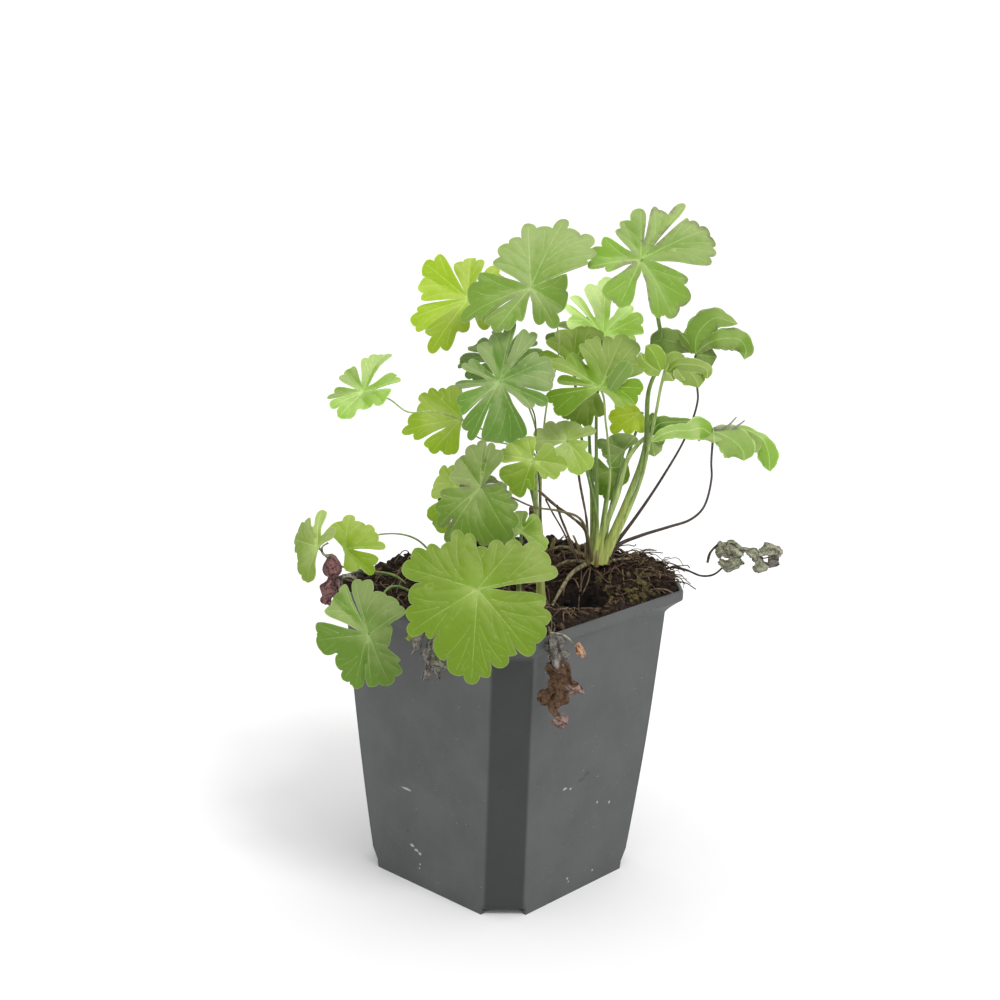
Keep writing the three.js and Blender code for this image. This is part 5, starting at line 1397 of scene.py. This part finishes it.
def make_soil(looks, amounts):
    """The peat: a lumpy body with crumbs, chips, fibres, moss and roots on it."""
    rng = np.random.default_rng(12)
    grain = Grain(21)
    build = Build(tint=1, pit=1, flat=3)
    body, faces = peat_body(grain, rng)
    build.add(body, faces, 0, pit=hollow_share(body), flat=body)

    def scatter(many, inset=2.0):
        """Random places on the peat."""
        half = POT["rim_half"] - 1
        places = rng.uniform(-half, half, (3 * many, 2))
        places = places[inside_wall(places, inset)][:many]
        return np.column_stack([places, peat_height(places, grain)])

    crumb, crumb_faces = ball(1)
    for centre in scatter(amounts.crumbs):
        size = 0.35 + 0.9 * rng.random() ** 2.5
        body = crumb * rng.uniform(0.65, 1.25, (len(crumb), 1)) * size * rng.uniform(0.6, 1.3, 3)
        body = body + centre + (0, 0, 0.2 * size)
        build.add(body, crumb_faces, 0, tint=rng.random(), pit=hollow_share(body), flat=body)
    moss = [rng.normal(middle, spread, amounts.moss) for middle, spread in zip(*MOSS_AT)]
    near = turned(np.column_stack([*moss, 0 * moss[0]]))
    near = near[inside_wall(near, 3)]
    near = near[hollow_share(near) < 0.2]
    for centre in np.column_stack([near[:, :2], peat_height(near[:, :2], grain)]):
        size = 0.4 + 0.9 * rng.random()
        body = crumb * rng.uniform(0.5, 1.4, (len(crumb), 1)) * size * rng.uniform(0.5, 1.5, 3)
        build.add(body + centre + (0, 0, 0.4 * size), crumb_faces, 2, tint=rng.random(), flat=body + centre)
    for centre in scatter(amounts.chips, 4):
        heading = rng.uniform(0, 2 * math.pi)
        length, width = rng.uniform(2.5, 6.5), rng.uniform(0.8, 2)
        along = np.array([math.cos(heading), math.sin(heading), rng.uniform(-0.35, 0.35)])
        path = centre + np.outer(np.linspace(-0.5, 0.5, 6) * length, along) + (0, 0, 0.5)
        body, sides, _ = tube(path, width * np.array([0.25, 0.5, 0.42, 0.5, 0.4, 0.15]), 6)
        build.add(body, sides, 3, tint=rng.random(), pit=hollow_share(body), flat=body)
    for centre in scatter(amounts.fibres, 4):
        route = fibre_route(centre, grain, rng)
        if route is not None:
            build.add_tube(route, rng.uniform(0.1, 0.28), 5, 1, tint=rng.random())
    for _ in range(amounts.fringe):
        route = fringe_route(grain, rng)
        if route is not None:
            radius = rng.uniform(0.1, 0.26)
            build.add_tube(route, radius, 5, 1 if rng.random() < 0.35 else 3, tint=0.6 * rng.random())
    piece = build.make("peat", [looks["peat"], looks["fibre"], looks["moss"], looks["chip"]], sharp=35)
    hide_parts("soil")
    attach(piece, "root")


# ---- Pot ------------------------------------------------------------------


def wall_half(z):
    """Half the width between two walls: they taper down, and the peat swells them a little."""
    taper = POT["base_half"] + (POT["wall_top_half"] - POT["base_half"]) * z / POT["wall_top"]
    return taper + POT_SWELL * math.sin(math.pi * z / POT["wall_top"])


def skirt_bodies():
    """The strips below the walls that the pot stands on, one along each side."""
    foot, thick = POT["foot_height"], POT["skirt"]
    bodies = []
    for k in range(4):
        corners = []
        for z in (0.0, foot):
            half = wall_half(z)
            near = half - POT["foot_corner"]
            corners += [(half, -near, z), (half, near, z), (half - thick, near, z), (half - thick, -near, z)]
        turn = math.radians(90 * k)
        cos, sin = math.cos(turn), math.sin(turn)
        points = np.array([(x * cos - y * sin, x * sin + y * cos, z) for x, y, z in corners])
        faces = [(3, 2, 1, 0), (4, 5, 6, 7), (0, 1, 5, 4), (1, 2, 6, 5), (2, 3, 7, 6), (3, 0, 4, 7)]
        bodies.append((points, faces))
    return bodies


def pot_loops():
    """The pot's outlines from its foot up the outside and down the inside, as one grid of points."""
    height, rim_half, wall = POT["height"], POT["rim_half"], POT["wall"]
    rim_foot, corner, rim_corner = height - POT["rim_depth"], POT["corner"], POT["rim_corner"]
    foot, slant, neck = POT["foot_height"], POT["slant_height"], POT["wall_top"]
    foot_corner = POT["foot_corner"]
    # Each outline: half width, cut corner, height, and the radius of its bends.
    outer = [(wall_half(foot), foot_corner, foot, 0.5), (wall_half(foot), foot_corner, foot + 0.2, 0.5),
             (wall_half(slant), corner + 0.1, slant - 0.4, 0.7), (wall_half(slant), corner, slant + 0.4, 0.7)]
    for share in np.linspace(0.08, 0.97, 14):
        z = slant + share * (neck - slant)
        outer.append((wall_half(z), corner, z, 0.7))
    for share in np.linspace(0, 1, 7):
        out = share**1.5
        outer.append((wall_half(neck) + (rim_half - 0.2 - wall_half(neck)) * out,
                      corner + (rim_corner - corner) * out, neck + (rim_foot - neck) * share, 0.9))
    outer += [(rim_half, rim_corner, z, 1.2) for z in (rim_foot + 0.4, height - 1.6, height - 0.5)]
    outer += [
        (rim_half - 0.15, rim_corner, height - 0.12, 1.2), (rim_half - 0.5, rim_corner, height, 1.2),
        (rim_half - wall + 0.25, rim_corner - 0.3, height, 1.1),
        (rim_half - wall, rim_corner - 0.4, height - 0.3, 1.0),
        (rim_half - wall, rim_corner - 0.6, rim_foot + wall, 1.0),
        (wall_half(neck) - wall, corner - 0.6, neck + wall, 0.8),
        (wall_half(foot) - wall, foot_corner - 0.6, foot + wall, 0.8),
    ]
    loops = []
    for half, cut, z, bend in outer:
        loop = rounded(half, cut, bend)
        loops.append(np.column_stack([loop, np.full(len(loop), z)]))
    return np.array(loops)


def drain_holes():
    """The outlines of the drain holes, seen from above."""
    around = np.linspace(0, 2 * math.pi, HOLE_POINTS, endpoint=False)
    circle = np.stack([np.cos(around), np.sin(around)], axis=-1)
    holes = []
    for reach, radius, start in DRAIN_HOLES:
        for k in range(4):
            turn = math.radians(start + 90 * k)
            holes.append(reach * np.array([math.cos(turn), math.sin(turn)]) + radius * circle)
    return holes


def floor_faces(rim, holes):
    """The floor's triangles from its rim to its holes, seen from above, over rim and hole points."""
    lines, start = [], 0
    for loop in (rim, *holes):
        lines += [(start + i, start + (i + 1) % len(loop)) for i in range(len(loop))]
        start += len(loop)
    spots, triangles = cut_up(np.vstack([rim, *holes]), lines, len(rim))
    middles = spots[triangles].mean(axis=1)
    return triangles[~np.any([within(middles, hole) for hole in holes], axis=0)].tolist()


def make_pot(look):
    """The nursery pot: panelled walls, a rim band, a floor with drain holes and four feet."""
    foot, wall = POT["foot_height"], POT["wall"]
    loops, holes = pot_loops(), drain_holes()
    around, ring = loops.shape[1], HOLE_POINTS * len(holes)
    points, faces = np.vstack(loops), ring_faces(len(loops), around)
    last = len(points) - around
    for first, z, up in ((0, foot, False), (last, foot + wall, True)):
        index = [*range(first, first + around), *range(len(points), len(points) + ring)]
        for face in floor_faces(points[first:first + around, :2], holes):
            loop = tuple(index[i] for i in face)
            faces.append(loop if up else loop[::-1])
        points = np.vstack([points, np.column_stack([np.vstack(holes), np.full(ring, z)])])
    below, above = last + around, last + around + ring
    for start in range(0, ring, HOLE_POINTS):
        for i in range(HOLE_POINTS):
            a, b = start + i, start + (i + 1) % HOLE_POINTS
            faces.append((below + b, below + a, above + a, above + b))
    wave = 0.18 * Grain(5)(points, 38) * ramp(points[:, 2], 20, 80)
    build = Build(flat=3)
    build.add(points + unit(points * (1, 1, 0)) * wave[:, None], faces, 0, flat=points)
    for body, sides in skirt_bodies():
        build.add(body, sides, 0, flat=body)
    piece = build.make("nursery_pot", [look], sharp=34)
    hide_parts("pot")
    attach(piece, "root")


def stalk_looks(settings):
    """The stalks' colours. The green and the pale ones are yellower at their foot."""
    looks = {}
    for stem in ("green", "pale", "purple", "olive"):
        colour = tuple(getattr(settings, "stalk_" + stem))
        foot = tuple(settings.stalk_foot) if stem in ("green", "pale") else colour
        looks["stalk_" + stem] = stalk_look("stalk_" + stem, colour, foot)
    beak = tuple(settings.beak)
    looks["stalk_beak"] = stalk_look("stalk_beak", beak, beak)
    return looks


def crown_looks(settings):
    """Bark, papery scales, roots and dead stems."""
    looks = {}
    bark = Finish("bark")
    spot = bark.place("flat")
    streak = bark.noise(spot, 0.7, 5, 0.7)
    base = bark.mix(streak.band(0.3, 0.7), (0.03, 0.013, 0.008), tuple(settings.bark))
    looks["bark"] = bark.surface(base_color=base, roughness=0.75 + streak * 0.15,
                                 normal=bark.bump(bark.noise(spot, 1.6, 5, 0.7), 0.8), specular_ior_level=0.3)
    scale = Finish("papery scale")
    spot, run = scale.place("flat"), scale.value("run")
    veins = scale.noise(spot, 1.6, 3, 0.6, (1, 1, 0.12))
    base = scale.mix(run.band(0.1, 0.9), tuple(settings.scale), (0.38, 0.36, 0.16))
    base = scale.mix(veins.band(0.35, 0.7) * 0.6, base, (0.1, 0.04, 0.02))
    looks["scale"] = scale.surface(base_color=base, roughness=0.6 + veins * 0.1,
                                   normal=scale.bump(veins, 0.25), specular_ior_level=0.4)
    looks["dead_stem"] = dead_stem_look()
    looks["root"] = dead_stem_look("root", (0.07, 0.055, 0.03), (0.3, 0.26, 0.14))
    return looks


def dead_stem_look(name="dead stem", dark=(0.06, 0.036, 0.022), light=(0.2, 0.135, 0.085)):
    """A dry stem or root, streaked along its length."""
    stem = Finish(name)
    spot = stem.place("flat")
    streak = stem.noise(spot, 0.9, 4, 0.65, (1, 1, 0.25))
    base = stem.mix(streak.band(0.32, 0.68), dark, light)
    return stem.surface(base_color=base, roughness=0.7 + streak * 0.1, normal=stem.bump(streak, 0.4),
                        specular_ior_level=0.35)


def dry_looks():
    """Withered leaves, each in its own brown or grey, and the dry bud."""
    black = dead_stem_look("black stem", (0.012, 0.008, 0.006), (0.06, 0.045, 0.03))
    looks = dict(dead_stem=dead_stem_look(), black=black)
    tints = dict(
        brown=((0.03, 0.015, 0.008), (0.165, 0.092, 0.048)), grey=((0.05, 0.04, 0.032), (0.3, 0.28, 0.25)),
        olive=((0.045, 0.045, 0.025), (0.42, 0.42, 0.3)), bud=((0.05, 0.018, 0.02), (0.32, 0.16, 0.155)),
        pink=((0.07, 0.04, 0.032), (0.32, 0.22, 0.19)), orange=((0.25, 0.1, 0.04), (0.6, 0.38, 0.24)),
        lime=((0.12, 0.15, 0.03), (0.36, 0.42, 0.11)))
    for name, (dark, light) in tints.items():
        dry = Finish(name)
        spot, run = dry.place("flat"), dry.value("run")
        patch = dry.noise(spot, 0.6, 4, 0.7)
        veins = dry.cells(spot, 0.9)
        base = dry.mix(patch.band(0.35, 0.65), dark, light)
        base = dry.mix(run.band(0.7, 1.0) * 0.4, base, shade(dark, 0.6))
        base = dry.mix(veins.band(0.12, 0.02) * 0.5, base, shade(light, 1.15))
        height = patch * 0.6 - veins.band(0.2, 0.0) * 0.5
        looks[name] = dry.surface(thin=(0.12, light), base_color=base, roughness=0.72 + patch * 0.1,
                                  normal=dry.bump(height, 0.4, 0.8), specular_ior_level=0.3)
    return looks


def soil_looks(settings):
    """Peat, its fibres and chips, and the moss on it."""
    looks = {}
    peat = tuple(settings.peat)
    soils = dict(
        peat=(shade(peat, 0.3), shade(peat, 2.6), 0.94),
        fibre=((0.05, 0.028, 0.016), (0.36, 0.25, 0.16), 0.8),
        moss=((0.04, 0.03, 0.01), (0.19, 0.155, 0.055), 0.9),
        chip=((0.025, 0.014, 0.01), (0.16, 0.1, 0.06), 0.85))
    for name, (dark, light, rough) in soils.items():
        earth = Finish(name)
        spot, tint = earth.place("flat"), earth.value("tint")
        fleck = earth.noise(spot, 0.8, 5, 0.7)
        fine = earth.noise(spot, 3.4, 4, 0.75)
        base = earth.mix((fleck.band(0.38, 0.68) * 0.6 + tint * 0.4).at_most(1.0), dark, light)
        base = earth.mix(fine.band(0.6, 0.8) * 0.35, base, shade(light, 1.5))
        # Painted shadow: peat, crumbs and chips in the hollow go near black.
        base = earth.mix(earth.value("pit") * 0.95, base, (0.002, 0.002, 0.003))
        looks[name] = earth.surface(base_color=base, roughness=rough - fleck * 0.1,
                                    normal=earth.bump(fine * 0.6 + fleck * 0.6, 0.6), specular_ior_level=0.25)
    return looks


def pot_look(colour):
    """Grey moulded plastic, scuffed and scratched, with painted shade on its corner panels and in the dents
    of its rim band, and painted light towards its top.
    """
    look = Finish("pot plastic")
    spot = look.place("flat")
    colour = tuple(part * grey for part, grey in zip(shade(colour, 0.66), (1.03, 1.0, 0.97)))
    parts = [look.node("SeparateXYZ", None, {0: spot}, axis) for axis in "XYZ"]
    x, y = (part.math("ABSOLUTE", part) for part in parts[:2])
    # Painted shade: the corner panels below the rim band are painted much darker than the sides.
    edge = x.at_most(y) - x.at_least(y) + POT["corner"]
    shaded_panel = edge.band(-1.3, 0.7) * parts[2].band(POT["wall_top"] + 1.5, POT["wall_top"] - 1.5)
    cloud = look.noise(spot, 0.05, 4, 0.6)
    stain = look.noise(spot, 0.35, 5, 0.65)
    grit = look.noise(spot, 5, 3, 0.7)
    base = look.mix(cloud.band(0.3, 0.7), shade(colour, 0.88), shade(colour, 1.14))
    base = look.mix(stain.band(0.56, 0.78) * 0.3, base, shade(colour, 1.6))
    scratch = look.noise(spot, 0.9, 2, 0.5, (0.3, 0.3, 6))
    marks = scratch.band(0.7, 0.76) * look.noise(spot, 0.22, 2).band(0.5, 0.62)
    base = look.mix(marks * 0.4, base, (0.55, 0.56, 0.57))
    specks = look.cells(spot, 0.35, "F1").band(0.075, 0.03) * look.noise(spot, 0.12, 2).band(0.5, 0.6)
    base = look.mix(specks * 0.45, base, (0.6, 0.6, 0.58))
    # Painted light: lighter towards the top.
    base = look.mix(parts[2].band(60, 95) * 0.16, base, shade(colour, 1.9))
    base = look.mix(shaded_panel * 0.78, base, shade(colour, 0.15))
    wobble = look.noise(spot, 1.3, 3, 0.7)
    # Pale scuffs and specks, and dark marks: smudges, and the rim band's dents as painted shade.
    for pale in (0, 1):
        cover = 0.0
        for place, size, tone in POT_MARKS:
            if tone == pale:
                off = look.node("VectorMath", dict(operation="SUBTRACT"), {0: spot, 1: place})
                off = look.node("VectorMath", dict(operation="DIVIDE"), {0: off, 1: size})
                gap = look.node("VectorMath", dict(operation="LENGTH"), {0: off}, "Value")
                cover = (gap + wobble * 1.2).band(1.65, 1.15).at_least(cover)
        base = look.mix(cover * (0.35 + 0.3 * pale), base, (0.5, 0.5, 0.49) if pale else (0.01, 0.01, 0.01))
    return look.surface(base_color=base, roughness=0.46 + stain * 0.16 + marks * 0.2,
                        normal=look.bump(grit + stain * 2.0, 0.05, 0.6), specular_ior_level=0.5)


# ---- Floor, light and camera ----------------------------------------------


def make_stage(settings):
    """A plain white floor, even light with a broad soft key from the upper right, and the camera."""
    mesh = bpy.data.meshes.new("floor")
    corners = [(x * FLOOR_HALF, y * FLOOR_HALF, 0) for x, y in ((-1, -1), (1, -1), (1, 1), (-1, 1))]
    mesh.from_pydata(corners, [], [(0, 1, 2, 3)])
    floor = bpy.data.objects.new("floor", mesh)
    look = Finish("floor")
    dust = look.noise(look.place(), 40, 3)
    base = look.mix(dust, shade(WHITE, 0.845), shade(WHITE, 0.86))
    mesh.materials.append(look.surface(base_color=base, roughness=0.9, specular_ior_level=0.0))
    bpy.context.scene.collection.objects.link(floor)
    world = bpy.data.worlds.new("studio")
    world.use_nodes = True
    background = world.node_tree.nodes["Background"]
    background.inputs["Color"].default_value = (1, 1, 1, 1)
    background.inputs["Strength"].default_value = settings.sky
    bpy.context.scene.world = world
    view = view_axes()
    lamp = bpy.data.lights.new("key", "SUN")
    lamp.angle = settings.key_width
    lamp.energy = settings.key
    key = bpy.data.objects.new("key", lamp)
    key.matrix_world = (view @ Vector(SUN)).to_track_quat("Z", "Y").to_matrix().to_4x4()
    bpy.context.scene.collection.objects.link(key)
    lens = bpy.data.cameras.new("camera")
    lens.sensor_width = FILM
    lens.lens = CAMERA["focus"] * FILM / RENDER
    camera = bpy.data.objects.new("camera", lens)
    roll = Matrix.Rotation(math.radians(CAMERA["roll"]), 4, "Z")
    target = Vector(CAMERA["target"]) * MM
    spot = target + view @ Vector((0, 0, CAMERA["distance"] * MM))
    camera.matrix_world = Matrix.Translation(spot) @ view.to_4x4() @ roll
    bpy.context.scene.collection.objects.link(camera)
    bpy.context.scene.camera = camera
    bpy.context.scene.view_settings.view_transform = "Standard"


def view_axes():
    """The camera's right, up and back directions before its roll, as a matrix's columns."""
    turn, lift = math.radians(CAMERA["bearing"]), math.radians(CAMERA["lift"])
    back = Vector((math.sin(turn) * math.cos(lift), -math.cos(turn) * math.cos(lift), math.sin(lift)))
    right = Vector((math.cos(turn), math.sin(turn), 0))
    return Matrix((right, back.cross(right), back)).transposed()


# ---- Settings, operators and panel ----------------------------------------


def colour_property(name, description, default):
    """A colour to set, with its three parts from 0 to 1."""
    return bpy.props.FloatVectorProperty(name=name, description=description, default=default, size=3,
                                         min=0, max=1, subtype="COLOR")


def slot_colour(slot):
    """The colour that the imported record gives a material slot."""
    rows = {row["slot"]: row for row in frame["record"]["materials"]}
    return tuple(rows[slot]["base_color"])


class LeafSettings(bpy.types.PropertyGroup):
    """Sizes and colours of the leaves"""

    thickness: bpy.props.FloatProperty(name="Thickness", description="How thick a blade is", default=0.0003,
                                       min=0.0001, max=0.001, precision=5, unit="LENGTH")
    ruffle: bpy.props.FloatProperty(name="Ruffle", description="How far the edges of the blades wave",
                                    default=0.0009, min=0, max=0.003, precision=5, unit="LENGTH")
    stalk_width: bpy.props.FloatProperty(name="Stalk width",
                                         description="How wide the stalks are, as a factor",
                                         default=1.0, min=0.3, max=2, subtype="FACTOR")
    fresh: colour_property("Fresh", "Blade colour of the middle-green leaves", slot_colour("leaf_fresh"))
    lime: colour_property("Lime", "Blade colour of the yellow-green leaves", slot_colour("leaf_lime"))
    bluish: colour_property("Bluish", "Blade colour of the blue-green leaves", slot_colour("leaf_bluish"))
    sage: colour_property("Sage", "Blade colour of the soft grey-green leaves", slot_colour("leaf_sage"))
    pale: colour_property("Pale", "Blade colour of the palest leaves", slot_colour("leaf_pale"))
    dark: colour_property("Dark", "Blade colour of the shaded leaves", slot_colour("leaf_dark"))
    vein: colour_property("Veins", "Colour of the ribs of every leaf", (0.52, 0.62, 0.3))


class FinishSettings(bpy.types.PropertyGroup):
    """Colours of the rest"""

    stalk_green: colour_property("Stalks", "Colour of most stalks", (0.19, 0.3, 0.06))
    stalk_pale: colour_property("Pale stalks", "Colour of the palest stalks", (0.38, 0.5, 0.15))
    stalk_purple: colour_property("Purple stalks", "Colour of the thin dark stalks", (0.075, 0.05, 0.042))
    stalk_olive: colour_property("Olive stalks", "Colour of the low brownish stalks", (0.15, 0.14, 0.05))
    stalk_foot: colour_property("Stalk feet", "Colour of the stalks where they leave the crown",
                                (0.55, 0.62, 0.15))
    beak: colour_property("Beaks", "Colour of the dry seed beaks", (0.3, 0.28, 0.25))
    bark: colour_property("Crown bark", "Light parts of the woody crowns", slot_colour("woody_crown"))
    scale: colour_property("Scales", "Papery scales round the stalks' feet", (0.27, 0.15, 0.07))
    peat: colour_property("Peat", "Colour of the damp peat", slot_colour("peat"))
    pot: colour_property("Pot", "Colour of the pot's plastic", slot_colour("pot_plastic"))


class SoilSettings(bpy.types.PropertyGroup):
    """How much lies on the peat"""

    crumbs: bpy.props.IntProperty(name="Crumbs", description="Crumbs on the peat", default=2600, min=0)
    moss: bpy.props.IntProperty(name="Moss", description="Bits of moss, most of them at the right",
                                default=260,
                                min=0)
    chips: bpy.props.IntProperty(name="Chips", description="Chips of bark in the peat", default=170, min=0)
    fibres: bpy.props.IntProperty(name="Fibres", description="Fibres that arch over the peat", default=300,
                                  min=0)
    fringe: bpy.props.IntProperty(name="Fringe", description="Fine roots that stand out at the right corner",
                                  default=260, min=0)


class StageSettings(bpy.types.PropertyGroup):
    """The light"""

    sky: bpy.props.FloatProperty(name="Sky", description="Strength of the even light all round", default=1.03,
                                 min=0)
    key: bpy.props.FloatProperty(name="Key", description="Strength of the soft key light", default=1.2, min=0)
    key_width: bpy.props.FloatProperty(name="Key width",
                                       description="How wide the key light looks from the pot",
                                       default=math.radians(16), min=0, max=math.pi, subtype="ANGLE")


class BuildLeaves(bpy.types.Operator):
    """Builds every leaf with its stalk"""

    bl_idname = "geranium.leaves"
    bl_label = "Leaves"

    def execute(self, context):
        settings = context.scene.geranium_leaves
        looks = stalk_looks(context.scene.geranium_finish)
        vein = tuple(settings.vein)
        for seed, tone in enumerate(("fresh", "lime", "bluish", "sage", "pale", "dark")):
            looks[tone] = blade_look("blade " + tone, tuple(getattr(settings, tone)), vein, seed)
        for seed, leaf in enumerate(LEAVES, 1):
            make_leaf(leaf, seed, looks, settings)
        return {"FINISHED"}


class BuildCrowns(bpy.types.Operator):
    """Builds the woody crowns with their roots, scales and dead stems"""

    bl_idname = "geranium.crowns"
    bl_label = "Crowns"

    def execute(self, context):
        make_crowns(crown_looks(context.scene.geranium_finish))
        return {"FINISHED"}


class BuildDeadGrowth(bpy.types.Operator):
    """Builds the withered leaves and the dry bud"""

    bl_idname = "geranium.dead_growth"
    bl_label = "Withered leaves"

    def execute(self, context):
        make_dead_growth(dry_looks())
        return {"FINISHED"}


class BuildSoil(bpy.types.Operator):
    """Builds the peat with its crumbs, chips and fibres"""

    bl_idname = "geranium.soil"
    bl_label = "Peat"

    def execute(self, context):
        make_soil(soil_looks(context.scene.geranium_finish), context.scene.geranium_soil)
        return {"FINISHED"}


class BuildPot(bpy.types.Operator):
    """Builds the nursery pot"""

    bl_idname = "geranium.pot"
    bl_label = "Pot"

    def execute(self, context):
        make_pot(pot_look(tuple(context.scene.geranium_finish.pot)))
        return {"FINISHED"}


class BuildStage(bpy.types.Operator):
    """Sets out the floor, the light and the camera"""

    bl_idname = "geranium.stage"
    bl_label = "Floor, light and camera"

    def execute(self, context):
        make_stage(context.scene.geranium_stage)
        return {"FINISHED"}


class GeraniumPanel(bpy.types.Panel):
    """Lists the settings and the pieces"""

    bl_idname = "VIEW3D_PT_geranium"
    bl_label = "Potted geranium"
    bl_space_type = "VIEW_3D"
    bl_region_type = "UI"
    bl_category = "Geranium"

    def draw(self, context):
        for name in GROUPS:
            group = getattr(context.scene, name)
            box = self.layout.box()
            for setting in group.__annotations__:
                box.prop(group, setting)
        for operator in OPERATORS:
            self.layout.operator(operator.bl_idname)


GROUPS = dict(geranium_leaves=LeafSettings, geranium_finish=FinishSettings, geranium_soil=SoilSettings,
              geranium_stage=StageSettings)
OPERATORS = (BuildStage, BuildPot, BuildSoil, BuildCrowns, BuildDeadGrowth, BuildLeaves)


def register():
    """Adds the settings, the operators and the panel."""
    for cls in (*GROUPS.values(), *OPERATORS, GeraniumPanel):
        bpy.utils.register_class(cls)
    for name, group in GROUPS.items():
        setattr(bpy.types.Scene, name, bpy.props.PointerProperty(type=group))


def unregister():
    """Takes them away again."""
    for name in GROUPS:
        delattr(bpy.types.Scene, name)
    for cls in (GeraniumPanel, *reversed(OPERATORS), *GROUPS.values()):
        bpy.utils.unregister_class(cls)


def main():
    """Builds every piece."""
    register()
    bpy.ops.geranium.stage()
    bpy.ops.geranium.pot()
    bpy.ops.geranium.soil()
    bpy.ops.geranium.crowns()
    bpy.ops.geranium.dead_growth()
    bpy.ops.geranium.leaves()
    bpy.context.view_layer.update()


if __name__ == "__main__":
    main()
